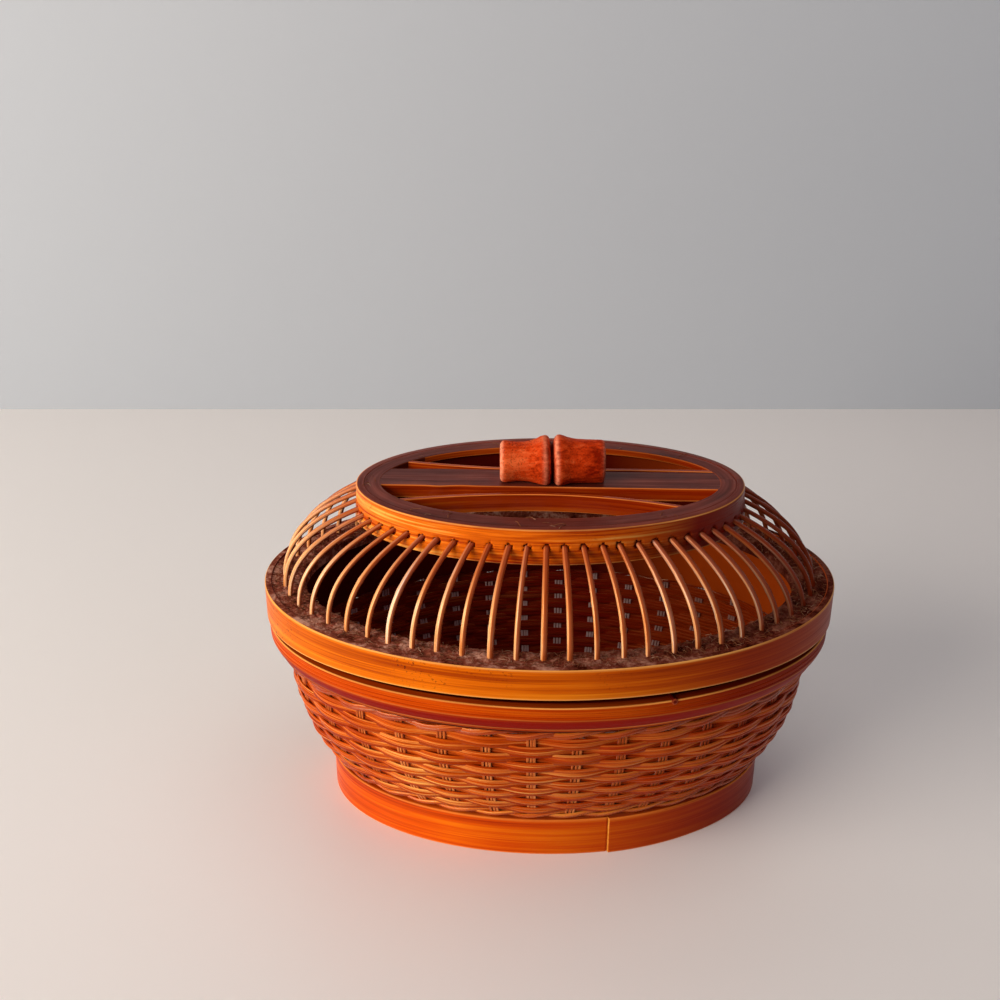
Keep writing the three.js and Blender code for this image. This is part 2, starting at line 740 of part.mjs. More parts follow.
function ringBand() {
  const profile = [
    [ringOval, RING_BAND_FLARE, bandBottom],
    [ringOval, 0, ringTop],
    [ringOval, -RING_BAND_THICKNESS, ringTop],
    [ringOval, -RING_BAND_THICKNESS, bandBottom],
  ];
  const points = [];
  const index = [];
  for (let k = 0; k < RIB_COUNT; k++) {
    const t = ringAngles[k];
    for (const [base, offset, z] of profile) points.push(pointAt(base, t, offset, z));
  }
  const depth = RIB_IN_POCKET + TOUCH_GAP;
  const halfWidth = RIB_WIDTH / 2 + TOUCH_GAP;
  const halfHeight = RIB_THICKNESS / 2 + 0.55;
  for (let k = 0; k < RIB_COUNT; k++) {
    const i = ((k + RIB_COUNT - 1) % RIB_COUNT) * 4;
    const j = k * 4;
    for (const edge of [1, 2, 3]) {
      const next = (edge + 1) % 4;
      index.push(i + edge, j + edge, j + next);
      index.push(i + edge, j + next, i + next);
    }
    const mouth = points.length;
    for (const back of [0, depth]) {
      for (const [side, rise] of [[-1, -1], [1, -1], [1, 1], [-1, 1]]) {
        const { center, across, out } = facetAt(k, ribEntry + rise * halfHeight);
        points.push(
          center.addScaledVector(across, side * halfWidth).addScaledVector(out, -back),
        );
      }
    }
    const corners = [i, j, j + 1, i + 1];
    for (let c = 0; c < 4; c++) {
      const d = (c + 1) % 4;
      index.push(corners[c], corners[d], mouth + d);
      index.push(corners[c], mouth + d, mouth + c);
      index.push(mouth + c, mouth + d, mouth + 4 + d);
      index.push(mouth + c, mouth + 4 + d, mouth + 4 + c);
    }
    index.push(mouth + 4, mouth + 5, mouth + 6);
    index.push(mouth + 4, mouth + 6, mouth + 7);
  }
  return closedBody(points, index);
}

addPiece("top_ring_band", ringBand(), BAND_LOOK);

// Ribs in sets of five on a common foot strip
function ribGeometry(k) {
  const t = ribAngles[k];
  const foot = pointAt(ribFootOval, t, 0.15, lidTop - RIB_STRIP_TOP_DROP - 1.5);
  const { center, across, out } = facetAt(k, ribEntry);
  const end = center.clone().addScaledVector(out, -RIB_IN_POCKET);
  end.z = ribEntry + 0.25;
  const mouth = center.clone().addScaledVector(out, 0.7);
  mouth.z = ribEntry - 0.3;
  const ledge = pointAt(ribFootOval, t, 0, lidTop);
  const footTangent = tangentAt(ribFootOval, t);
  const centers = [foot];
  RIB_CURVE.slice().reverse().forEach(([radial, height], i) => {
    if (i === 0) return;
    const point = new THREE.Vector3().lerpVectors(mouth, ledge, radial);
    point.z = mouth.z + (ledge.z - mouth.z) * height;
    centers.push(point);
  });
  centers.push(end);
  const sections = centers.map((point, i) => {
    const before = centers[Math.max(i - 1, 0)];
    const after = centers[Math.min(i + 1, centers.length - 1)];
    const along = after.clone().sub(before).normalize();
    const share = i / (centers.length - 1);
    const side = new THREE.Vector3().lerpVectors(footTangent, across, share).normalize();
    let through = new THREE.Vector3().crossVectors(along, side).normalize();
    if (i === centers.length - 1) through = new THREE.Vector3(0, 0, through.z < 0 ? -1 : 1);
    return bar(
      point,
      side.multiplyScalar(RIB_WIDTH / 2),
      through.multiplyScalar(RIB_THICKNESS / 2),
    );
  });
  return loft(sections, false);
}

function stripSection(point, out, low, high) {
  const through = out.clone().multiplyScalar(RIB_STRIP_THICKNESS / 2);
  const up = new THREE.Vector3(0, 0, (high - low) / 2);
  return bar(point.clone().setZ((low + high) / 2), through, up);
}

function ribSet(index) {
  const first = index * RIBS_PER_SET;
  const low = lidSeat + 0.2;
  const high = lidTop - RIB_STRIP_TOP_DROP;
  const sections = [];
  const middles = [];
  for (let k = first; k < first + RIBS_PER_SET; k++) {
    const out = normalAt(ribFootOval, ribAngles[k]);
    middles.push({ point: pointAt(ribFootOval, ribAngles[k], 0, 0), out });
  }
  const neighbour = (k) => {
    const t = ribAngles[(k + RIB_COUNT) % RIB_COUNT];
    return { point: pointAt(ribFootOval, t, 0, 0), out: normalAt(ribFootOval, t) };
  };
  const reach = (from, to) => ({
    point: new THREE.Vector3().lerpVectors(from.point, to.point, 0.46),
    out: new THREE.Vector3().lerpVectors(from.out, to.out, 0.46).normalize(),
  });
  const stations = [
    reach(middles[0], neighbour(first - 1)),
    ...middles,
    reach(middles[RIBS_PER_SET - 1], neighbour(first + RIBS_PER_SET)),
  ];
  for (const { point, out } of stations) sections.push(stripSection(point, out, low, high));
  const pieces = [loft(sections, false)];
  for (let k = first; k < first + RIBS_PER_SET; k++) pieces.push(ribGeometry(k));
  return join(pieces);
}

for (let i = 0; i < RIB_COUNT / RIBS_PER_SET; i++) {
  addPiece("rib_set_" + String(i + 1).padStart(2, "0"), ribSet(i), RIB_LOOK);
}

// Slat across the ring, let into the core
const slatTurn = THREE.MathUtils.degToRad(SLAT_TURN);
const slatHalfLength = ringInnerOval.a + SLAT_SEAT;

function slatBody(more, rise) {
  const height = SLAT_THICKNESS + more + rise;
  const body = new THREE.BoxGeometry(2 * (slatHalfLength + more), SLAT_WIDTH + 2 * more, height);
  body.translate(0, 0, slatBottom - more + height / 2);
  body.rotateZ(slatTurn);
  body.translate(0, SLAT_SHIFT, 0);
  return body;
}

const ringCore = hoop(
  [
    [ringOval, -RING_BAND_THICKNESS - TOUCH_GAP, ringTop - RING_CORE_HEIGHT],
    [ringOval, -RING_BAND_THICKNESS - TOUCH_GAP, ringTop],
    [ringInnerOval, 0, ringTop],
    [ringInnerOval, 0, ringTop - RING_CORE_HEIGHT],
  ],
  ringAngles,
);

// The middle of a brace that stands so far from the slat's edge, on the side of +Y or -Y
function besideSlat(x, fromSlat, side) {
  const slatEdge = SLAT_SHIFT + x * Math.tan(slatTurn) + (side * SLAT_WIDTH) / 2 / Math.cos(slatTurn);
  return slatEdge + side * (fromSlat + BRACE_THICKNESS / 2);
}

// The angle, in degrees, at which a brace that keeps this distance meets the ring's right end
function angleBesideSlat(fromSlat, side) {
  let low = 0;
  let high = 90;
  for (let i = 0; i < 40; i++) {
    const middle = (low + high) / 2;
    const seat = pointAt(ringInnerOval, side * THREE.MathUtils.degToRad(middle), BRACE_SEAT, 0);
    if (side * (seat.y - besideSlat(seat.x, fromSlat, side)) < 0) low = middle;
    else high = middle;
  }
  return side * high;
}

// A brace's plan points: from the ring at one angle, past the slat, to the ring at the other
function bracePoints(leftAngle, rightAngle, nearestX, fromSlat, side) {
  const nearestY = besideSlat(nearestX, fromSlat, side);
  const ends = [leftAngle, rightAngle].map((angle) => {
    return pointAt(ringInnerOval, THREE.MathUtils.degToRad(angle), BRACE_SEAT, 0);
  });
  const points = [];
  for (let i = 0; i <= BRACE_STEPS; i++) {
    const x = THREE.MathUtils.lerp(ends[0].x, ends[1].x, i / BRACE_STEPS);
    const end = x < nearestX ? ends[0] : ends[1];
    const share = (x - nearestX) / (end.x - nearestX);
    points.push([x, nearestY + (end.y - nearestY) * share * share]);
  }
  return points;
}

function lengthened(points, by) {
  if (by === 0) return points;
  const beyond = (end, next) => {
    const length = Math.hypot(end[0] - next[0], end[1] - next[1]);
    return end.map((value, i) => value + ((value - next[i]) / length) * by);
  };
  const last = points.length - 1;
  return [beyond(points[0], points[1]), ...points, beyond(points[last], points[last - 1])];
}

function brace(more, rise, ...place) {
  const points = lengthened(bracePoints(...place), more);
  return edgeStrip(points, BRACE_THICKNESS + 2 * more, braceBottom - more, ringTop + rise);
}

const frontPlace = [
  FRONT_BRACE_LEFT_ANGLE,
  FRONT_BRACE_RIGHT_ANGLE,
  FRONT_BRACE_NEAREST_X,
  FRONT_BRACE_FROM_SLAT,
  -1,
];
const backPlace = [
  BACK_BRACE_LEFT_ANGLE,
  angleBesideSlat(BACK_BRACE_FROM_SLAT, 1),
  BACK_BRACE_NEAREST_X,
  BACK_BRACE_FROM_SLAT,
  1,
];
const sockets = [frontPlace, backPlace].map((place) => brace(TOUCH_GAP, 2, ...place));
addPiece("top_ring_core", cut(ringCore, slatBody(TOUCH_GAP, 2), ...sockets), RING_LOOK);
addPiece("front_brace", brace(0, 0, ...frontPlace), SLAT_LOOK);
addPiece("back_brace", brace(0, 0, ...backPlace), SLAT_LOOK);

// Knob: a node of bamboo along the slat, held by a peg from below
const peakRadius = KNOB_RIGHT_RADIUS + KNOB_NODE_RISE;
const knobProfile = [
  [-KNOB_LEFT_LENGTH, KNOB_LEFT_RADIUS],
  [-KNOB_LEFT_LENGTH * 0.4, KNOB_LEFT_RADIUS + KNOB_NODE_RISE * 0.5],
  [KNOB_NODE_X - KNOB_GROOVE_HALF_WIDTH * 2, peakRadius - KNOB_NODE_RISE * 0.35],
  [KNOB_NODE_X - KNOB_GROOVE_HALF_WIDTH, peakRadius - 0.3],
  [KNOB_NODE_X, peakRadius - KNOB_GROOVE_DEPTH],
  [KNOB_NODE_X + KNOB_GROOVE_HALF_WIDTH, peakRadius - 0.3],
  [KNOB_NODE_X + KNOB_GROOVE_HALF_WIDTH * 2, peakRadius - KNOB_NODE_RISE * 0.2],
  [KNOB_RIGHT_LENGTH * 0.5, KNOB_RIGHT_RADIUS + KNOB_NODE_RISE * 0.2],
  [KNOB_RIGHT_LENGTH, KNOB_RIGHT_RADIUS],
];
const knobSeat = ringTop + TOUCH_GAP;
const knobAxis = knobSeat + KNOB_LEFT_RADIUS - 0.2;
const knobSides = 20;
const knobSections = knobProfile.map(([x, radius]) => {
  const section = [];
  for (let i = 0; i < knobSides; i++) {
    const t = (2 * Math.PI * (i + 0.5)) / knobSides;
    section.push(new THREE.Vector3(x, radius * Math.cos(t), knobAxis + radius * Math.sin(t)));
  }
  return section;
});
const belowKnob = new THREE.BoxGeometry(
  3 * (KNOB_LEFT_LENGTH + KNOB_RIGHT_LENGTH),
  4 * peakRadius,
  2 * peakRadius,
);
belowKnob.translate(0, 0, knobSeat - peakRadius);

function knobPeg(radius, low, high) {
  const peg = pin(radius, high - low, 14);
  peg.rotateX(Math.PI / 2);
  peg.translate(0, 0, (low + high) / 2);
  return peg;
}

const pegTop = ringTop + KNOB_PEG_ABOVE_SLAT;
const pegBore = knobPeg(KNOB_PEG_RADIUS + TOUCH_GAP, slatBottom - 1, pegTop + TOUCH_GAP);
addPiece("slat", cut(slatBody(0, 0), pegBore), SLAT_LOOK);
addPiece("knob", cut(loft(knobSections, false), belowKnob, pegBore), KNOB_LOOK);
addPiece("knob_peg", knobPeg(KNOB_PEG_RADIUS, slatBottom, pegTop), HIDDEN_LOOK);

export default group;
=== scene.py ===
# %% [markdown]
# # An oval bamboo basket with a lift-off cage lid
#
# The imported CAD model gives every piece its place. This lesson dresses it: the plain solids are
# exchanged for woven, bent and carved bamboo, each piece gets a lacquered finish, and the basket
# is set on a pale table under soft light from a window on the left.

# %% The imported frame
import functools
import math

import bpy
import numpy as np
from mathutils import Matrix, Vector


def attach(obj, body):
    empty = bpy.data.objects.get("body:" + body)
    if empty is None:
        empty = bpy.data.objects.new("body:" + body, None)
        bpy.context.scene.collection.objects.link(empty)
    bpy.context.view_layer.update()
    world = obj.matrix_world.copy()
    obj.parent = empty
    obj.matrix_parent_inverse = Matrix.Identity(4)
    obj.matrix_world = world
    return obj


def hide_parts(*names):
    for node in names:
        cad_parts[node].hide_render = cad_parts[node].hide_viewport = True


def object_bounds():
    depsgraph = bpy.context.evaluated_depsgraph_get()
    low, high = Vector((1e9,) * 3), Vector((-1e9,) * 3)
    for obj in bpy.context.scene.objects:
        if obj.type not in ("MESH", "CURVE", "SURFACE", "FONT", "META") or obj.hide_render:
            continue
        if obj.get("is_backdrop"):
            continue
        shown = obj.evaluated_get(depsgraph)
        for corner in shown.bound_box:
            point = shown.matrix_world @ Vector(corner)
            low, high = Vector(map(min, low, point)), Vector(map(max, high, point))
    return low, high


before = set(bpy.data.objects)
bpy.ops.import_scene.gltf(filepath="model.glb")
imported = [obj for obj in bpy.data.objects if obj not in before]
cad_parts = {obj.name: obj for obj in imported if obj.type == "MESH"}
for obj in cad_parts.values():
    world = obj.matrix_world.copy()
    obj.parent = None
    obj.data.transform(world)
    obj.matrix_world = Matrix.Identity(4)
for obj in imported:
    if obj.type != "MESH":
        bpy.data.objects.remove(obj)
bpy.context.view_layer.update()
scene = bpy.context.scene

# %% [markdown]
# ## Sizes
#
# The same sizes as in the CAD source, in millimetres. An oval is a pair of half lengths. The
# foot, the wall and the rim are one oval, made wider by so much all the way round.

# %% Ovals and heights
MM = 0.001
OVALS = {"foot": (79.6, 47.9), "wall_foot": (79.35, 47.65), "rim": (99.15, 67.45)}
OVALS.update(lid=(99.85, 69.15), rib_foot=(92.95, 62.25), ledge=(85.85, 56.85))
OVALS.update(ring=(66.45, 43.15), ring_inner=(58.25, 33.55))
FOOT_TOP, BASE_MIDDLE, RIM_BOTTOM, RIM_TOP = 14.3, 15.1, 61.9, 71.9
LID_BOTTOM, COLLAR_TOP, LID_SEAT, LID_TOP = 75.6, 79.7, 80.0, 86.2
BAND_BOTTOM, RIB_ENTRY, RING_TOP = 108.9, 115.7, 120.3
SLAT_THICKNESS, BRACE_THICKNESS, BRACE_HEIGHT = 5.5, 1.7, 6.2
WALL_FLARE, WALL_BULGE, WALL_HALF = 13.9, 1.35, 1.7
STAKES, RIBS, ROWS = 32, 60, 12

# %% [markdown]
# ## One way to add a node
#
# Finishes and trees are both graphs of nodes. One function adds any node, so that a line of code
# reads as one node of the graph. The family in front of a node's type, such as ShaderNode, is
# looked up, and a Math node is written as its operation, because most nodes are such.


# %% Nodes and colours
def put(tree, kind, *values, ramp=(), **named):
    """Adds a node. kind is its type without the family, with its operation after a dot, and a
    Math node is its operation alone. values fill its inputs in order. A named value is an input
    if its name has a capital, and otherwise a setting."""
    kind, dot, operation = ("Math." + kind if kind.isupper() else kind).partition(".")
    if dot:
        named["operation"] = operation
    families = ("ShaderNode", "GeometryNode", "FunctionNode", "Node")
    node = tree.nodes.new(next(f for f in families if hasattr(bpy.types, f + kind)) + kind)
    inputs = dict(enumerate(values))
    for key, value in named.items():
        if key[0].isupper():
            inputs[key.replace("_", " ")] = value
        else:
            setattr(node, key, value)
    for key, value in inputs.items():
        if isinstance(value, bpy.types.bpy_prop_collection):
            value = value[0]
        if isinstance(value, bpy.types.NodeSocket):
            tree.links.new(value, node.inputs[key])
        elif value is not None:
            node.inputs[key].default_value = value
    for i, (place, colour) in enumerate(ramp):
        stops = node.color_ramp.elements
        stop = stops[i] if i < len(stops) else stops.new(place)
        stop.position, stop.color = place, colour
    return node.outputs


def linear(hex_code):
    """A colour written as sRGB hex, turned to the linear values that shaders use."""
    parts = [int(hex_code[i : i + 2], 16) / 255 for i in (0, 2, 4)]
    return [c / 12.92 if c < 0.04045 else ((c + 0.055) / 1.055) ** 2.4 for c in parts] + [1]


def new_finish(name):
    """An empty material, and what adds nodes to it."""
    made = bpy.data.materials.new(name)
    made.use_nodes = True
    made.node_tree.nodes.clear()
    return made, functools.partial(put, made.node_tree)


# %% [markdown]
# ## Camera, table and light
#
# The camera was fitted to the basket's four oval hoops. It looks 22.5 degrees down along +Y,
# a little left of the middle. The table is a white laminate, the wall a pale grey paint. One
# large window, low on the left and a little in front, gives nearly all the light, so the right
# side falls into a warm shade.

# %% Camera
LOOKS_DOWN = 22.5
view = bpy.data.cameras.new("view")
view.sensor_width, view.lens = 36, 39.6
camera = bpy.data.objects.new("camera", view)
camera.location = (-0.01716, -0.3518, 0.2583)
camera.rotation_euler = (math.radians(90 - LOOKS_DOWN), 0, 0)
scene.collection.objects.link(camera)
scene.camera = camera
scene.view_settings.view_transform = "Standard"
print("camera at", camera.location[:])


# %% Table and wall
def plain(name, colour, roughness):
    """A matt or satin surface for the set, with a faint unevenness in its gloss."""
    made, add = new_finish(name)
    cloud, uneven = add("TexNoise", add("TexCoord")["Object"], Scale=6.0), 0.03
    gloss = add("MapRange", cloud, 0.3, 0.7, roughness - uneven, roughness + uneven)
    add("OutputMaterial", add("BsdfPrincipled", linear(colour), 0.0, gloss))
    return made


def stage_plane(name, corners, material):
    mesh = bpy.data.meshes.new(name)
    mesh.from_pydata(corners, [], [(0, 1, 2, 3)])
    mesh.materials.append(material)
    plane = bpy.data.objects.new(name, mesh)
    scene.collection.objects.link(plane)
    plane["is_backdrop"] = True


WALL_Y, SIDE, WALL_TOP = 0.454, 3, 2
stage_plane("table", [(-SIDE, -SIDE, 0), (SIDE, -SIDE, 0), (SIDE, WALL_Y, 0), (-SIDE, WALL_Y, 0)],
            plain("white_laminate", "F0EAE4", 0.4))
stage_plane("wall", [(-SIDE, WALL_Y, 0), (SIDE, WALL_Y, 0), (SIDE, WALL_Y, WALL_TOP),
                     (-SIDE, WALL_Y, WALL_TOP)], plain("wall_paint", "B6BABE", 0.8))


# %% Window light
def soft_light(name, place, target, size, power, colour):
    """A rectangular area light at a place, facing a target."""
    data = bpy.data.lights.new(name, "AREA")
    data.shape, data.size, data.size_y = "RECTANGLE", *size
    data.energy, data.color = power, linear(colour)[:3]
    lamp = bpy.data.objects.new(name, data)
    lamp.location = place
    aim = Vector(target) - Vector(place)
    lamp.rotation_euler = aim.to_track_quat("-Z", "Y").to_euler()
    lamp.visible_camera = False
    scene.collection.objects.link(lamp)


soft_light("window", (-1.2, -0.72, 0.52), (0, 0, 0.06), (1.1, 0.9), 27, "FFF7EE")
soft_light("ceiling", (0.15, -0.3, 1.5), (0, 0, 0), (1.6, 1.2), 5.6, "FFF6F0")
soft_light("far_window", (1.4, -0.9, 0.9), (0, 0, 0.05), (1.2, 1.2), 2.2, "C4D2FF")
print("lights:", [light.name for light in bpy.data.lights])
scene.world = bpy.data.worlds.new("room")
scene.world.use_nodes = True
room_light = scene.world.node_tree.nodes["Background"].inputs
room_light[0].default_value, room_light[1].default_value = linear("D2D8F4"), 0.1


# %% [markdown]
# ## Lacquered bamboo
#
# Every visible piece is split bamboo, stained orange and lacquered. Bamboo shows straight fibres
# a few tenths of a millimetre wide and some centimetres long. Each mesh carries an attribute,
# strip, that holds the place along and across its strip in metres and the strip's own number,
# and the fibre pattern is a noise stretched along it. A second attribute marks the edges, which
# are paler, partly where the stain is rubbed through and partly as a painted highlight; in the
# woven rows it marks the lowest strand, which is painted darker as shade. Painted shade also
# darkens what faces inwards, and the right side, away from the window.

# %% A finish from three tones
FLAT = 0.43  # the ovals' width over their length, squared: turns a place to a direction out
OWN_LANE = 7.3  # sets the fibres of one strip apart from those of the next
STRIPES = 0.22  # broad stripes are about five fibres wide
TONE_RANGE = 2.2  # from middle to light, in contrasts
PATCHES = 55.0  # patches of pits, a metre
LIT = (0.022, 0.062)  # where, along x, what faces inwards is painted lighter, as if daylight reached it (m)
FACES_IN, FACES_AWAY = (0.1, -0.35), (0.66, 0.5)  # where painted shade sets in: from outer side to inner side, and on a rib from the side turned to the window to the side turned away
# pits in the skin: how many a metre, the least noise that makes one, how far they come in patches
POCKS, PORES = (1100.0, 0.61, 0.0), (1900.0, 0.56, 0.5)


def bamboo(name, tones, grain=(30, 1500), roughness=0.36, coat=0.0, contrast=0.16, worn=None,
           painted_inward="720A06 963008", specular=0.12, tint="FF9A50", bump=0.00005, mottle=9.0,
           pocks=0.0, pores=0.0, shade_heights=None, kept="AB735C", past=(-35, 60), skin=None):
    """Stained bamboo. tones are dark, middle and light. grain is the fibres' scale per metre along
    and across the strip, or three scales along x, y and z. A colour multiplied in from the first x
    of past to the second (mm) darkens the right side as painted shade. Between two heights (mm)
    another colour is painted as shade. Two colours, for the left and the right, are painted on
    what faces inwards: dark as shade, and on the stakes pale as light. If skin gives a direction,
    they are painted instead as shade on the side of a rib turned away from it. pocks are small
    dark pits, pores finer ones."""
    made, add = new_finish(name)
    spot = add("TexCoord")
    place = spot["Object"]
    if len(grain) == 2:
        strip = add("Attribute", attribute_name="strip")["Vector"]
        fibre = add("Mapping", strip, Scale=(*grain, OWN_LANE))
    else:
        fibre = add("Mapping", place, Scale=grain)
    fine = add("TexNoise", fibre, Scale=1.0, Detail=4.0, Roughness=0.6)
    broad = add("TexNoise", fibre, Scale=STRIPES, Detail=2.0)
    cloud = add("TexNoise", place, Scale=mottle, Detail=3.0)
    tone, middle = add("ADD", add("ADD", fine, broad), cloud), 3 * 0.5
    reach = contrast * TONE_RANGE
    share = add("MapRange", tone, middle - reach, middle + reach)
    dark, mid, light = [linear(tone) for tone in tones.split()]
    colour = add("ValToRGB", share, ramp=[(0.0, dark), (1.0, light), (0.5, mid)])
    relief = fine

    def mixed(amount, base, over, blend="MIX"):
        over = linear(over) if isinstance(over, str) else over
        return add("Mix", amount, *[None] * 5, base, over, data_type="RGBA", blend_type=blend)[2]

    spread = add("SeparateXYZ", place)
    # painted shade: from 0 on the left to 1 on the right, the right side, away from the window, is
    # darkened; fewer pits lie there too
    rightward = add("MapRange", spread["X"], past[0] * MM, past[1] * MM)
    if kept:
        colour = mixed(rightward, colour, kept, "MULTIPLY")
    if pocks or pores:
        scale, least, patchy = POCKS if pocks else PORES
        speck = add("TexNoise", place, Scale=scale, Detail=1.0)
        patch = add("TexNoise", place, Scale=PATCHES, Detail=1.0)
        patch = add("MapRange", patch, 0.52, 0.66, patchy, 1.0)
        speck = add("MapRange", speck, least, least + 0.1, 0.0, pocks or pores)
        speck = add("MULTIPLY", speck, patch)
        if pocks:
            speck = add("MULTIPLY", add("SUBTRACT", 0.8, rightward), speck, use_clamp=True)
        colour = mixed(speck, colour, "4A1204")
        relief = add("SUBTRACT", relief, speck)
    # painted shade between two heights: under the rim's turn, and on the ribs' upper part
    if shade_heights:
        low, high, over, most = shade_heights
        colour = mixed(add("MapRange", spread["Z"], low * MM, high * MM, 0.0, most), colour, over)
    # paler edges, part wear and part painted highlight; on the lowest strand of each woven row a darker
    # colour, as painted shade
    if worn:
        rubbed = add("Attribute", attribute_name="worn")["Fac"]
        rubbed = add("MULTIPLY", rubbed, add("MapRange", fine, 0.3, 0.6, 0.25, 0.95))
        colour = mixed(rubbed, colour, worn)
    # painted shade on what faces inwards, changing from a left to a right colour as the daylight
    # differs; on the stakes these colours are pale, as painted light; on a rib, painted shade on the
    # side turned from the window
    if painted_inward:
        out = add("VectorMath.MULTIPLY", place, (FLAT, 1.0, 0.0))
        out = add("VectorMath.NORMALIZE", out)
        if skin:
            out = add("VectorMath.SUBTRACT", skin, out)
            out = add("VectorMath.NORMALIZE", out)
        facing = add("VectorMath.DOT_PRODUCT", spot["Normal"], out)["Value"]
        inner = add("MapRange", facing, *(FACES_AWAY if skin else FACES_IN), 0.0, 0.86)
        left, right = painted_inward.split()
        lit = mixed(add("MapRange", spread["X"], *LIT), linear(left), right)
        colour = mixed(inner, colour, lit)
    rough = add("MapRange", fine, 0.3, 0.7, roughness + 0.08, roughness - 0.06)
    add("OutputMaterial", add(
        "BsdfPrincipled", colour, 0.0, rough, Normal=add("Bump", 0.6, bump, Height=relief),
        Coat_Weight=coat, Coat_Roughness=0.1, Specular_IOR_Level=specular, Specular_Tint=linear(tint)))
    return made


# %% [markdown]
# The finishes are named for what they are on the basket. Vermilion and orange lacquers cover the
# hoops, and their edges are pale, partly rubbed and partly a painted highlight. A scale of 1500 a
# metre draws fibres about 0.7 mm wide.
# Real ones are about 0.2 mm, which is too fine to show at this size, so they are drawn coarser.

# %% Finishes of the hoops
GRAIN = (22, 1500)
FINISH = dict(
    # even stain under a thin clear coat: softly shiny, pale along its edges from wear and a painted
    # highlight
    foot=bamboo("vermilion_lacquered_hoop", "B03200 DC5000 F27808", GRAIN, coat=0.06,
        worn="F68A34", contrast=0.15),
    # wiped thin, without a coat: satin, and painted red-brown shade where it turns under
    rim=bamboo("orange_lacquered_hoop", "9C2C00 C64402 E26C10", GRAIN, 0.42, worn="FFA84E",
        shade_heights=(67.2, 66.0, "8A0E00", 1.0), specular=0.06, contrast=0.15),
    # the golden skin glows through, with small dark pits
    lid_hoop=bamboo("golden_lacquered_hoop", "A43C00 DC6804 F89418", GRAIN, coat=0.04,
        worn="F8B860", pocks=1.0, contrast=0.17, specular=0.08),
    # broad bright stripes, with painted shade darkening its right side
    band=bamboo("amber_lacquered_band", "9E2800 E86E0C FFBC54", (34, 1300), 0.3, 0.05,
        worn="FFB860", pocks=0.5, contrast=0.12, kept="7A2414", past=(-8, 46)),
    # painted shade: dark and nearly matt, so that it reads as depth, and lighter on the right as
    # painted daylight
    inner=bamboo("painted_shade_inner_bamboo", "360602 540C03 701A08", (30, 1300), 0.5,
        painted_inward="4C0804 B8480E", specular=0.08, kept=None))

# %% [markdown]
# Split cane keeps its hard skin on one side. Splints are finer than hoops, so their fibres are
# drawn 0.4 to 0.5 mm wide, with less relief and a clearer gloss.

# %% Finishes of splints
FINISH.update(
    # skin outwards: long glints on each strand, and dark lines between them, partly from the gaps and
    # partly painted shade on the lowest strand of each row
    strand=bamboo("lacquered_split_cane", "962600 D65A08 FFC064", (45, 2600), 0.32, worn="8A2000",
        contrast=0.13, bump=0.00004, specular=0.14, tint="FFB870", kept="C8947A",
        past=(-50, 15)),
    # polished by hands under the rim: sharper glints than the rows
    twine=bamboo("polished_split_cane", "962600 D65A08 FCA844", (45, 2600), 0.2, 0.14,
        worn="962C04", contrast=0.14, bump=0.00004, specular=0.4, tint="FFE0B0"),
    # hardly stained: pale slivers in the windows between the rows; their inward faces are painted pale
    # as light
    stake=bamboo("pale_split_stakes", "8E3410 C45E24 EC9C58", (40, 2200), 0.4, 0.05,
        painted_inward="C4A8A4 A87C70", specular=0.15),
    # painted light and shade: the side turned to the window is pale, its lightest tone near white as a
    # painted highlight; the side turned away, the upper part and the ribs on the right are painted red
    # and dull as shade
    rib=bamboo("polished_split_ribs", "D06C1C FFB878 FFF4E0", (60, 2000), 0.17, 0.04,
        painted_inward="8E2A00 7A1E00", specular=0.45, tint="FFC890", skin=(-1.6, -1.5, 0.3),
        shade_heights=(99, 112, "A43C08", 0.75), kept="7A3C28", past=(35, 85)))

# %% [markdown]
# What is cut, carved or loose has lost its skin. End grain and coir have no direction, so their
# noise is even, about 1 mm in each; the ring and the slat have gone dark from handling.

# %% Finishes of cut, carved and loose pieces
EVEN = (900, 900, 900)
bare = functools.partial(bamboo, painted_inward=None, kept=None)
aged = functools.partial(bare, roughness=0.46, specular=0.15, tint="FFD0C0", mottle=40.0)
FINISH.update(
    # wax and dust from hands: dark, patchy, without a clear reflection
    ring=aged("dark_handled_ring", "44140A 621E0E 803422", (40, 900), worn="90401E"),
    # the same, with the long grain of a board
    slat=aged("dark_handled_slat", "44140E 602216 844030", (30, 1100), worn="A04A28"),
    # sawn edges that drank the stain: red, a little glossy
    edge=bare("red_cut_edges", "741600 A03204 BC520E", (30, 1500), 0.34, 0.1, worn="F08A3C",
        contrast=0.13, kept="DCA888"),
    # end grain, soaked dark; the same dark is painted as shade in the rib holes and in the knob's
    # groove
    peg=bare("dark_bamboo_peg", "3A0604 560C06 7A1E10", EVEN, 0.5, worn="C05A30"),
    # clean end grain: a pale line
    cut=bare("pale_cut_end", "A04C0C C47420 DC9840", EVEN, 0.5),
    # coir and dust: rough and brown, with no gloss at all
    ledge=bare("dusty_coir_ledge", "441408 864432 C8947C", EVEN, 0.9, specular=0.05, bump=0.0003,
        mottle=90.0, contrast=0.15, kept="A88880"),
    # loose hairs, paler than the ledge, that catch the light
    fibre=bare("loose_coir_fibres", "4A1C0E 845034 C09A80", (40, 900), 0.8, specular=0.06,
        mottle=300.0, contrast=0.18),
    # root wood with short pores, fuzzy from wear: matt vermilion, with paler spots painted as
    # highlights
    knob=bare("vermilion_root_end", "8E1E04 DC4614 F67038", (450, 900, 900), 0.6, worn="F49A74",
        specular=0.06, bump=0.00015, mottle=60.0, pores=0.8, kept="C89078"))
print("finishes:", ", ".join(sorted(FINISH)))


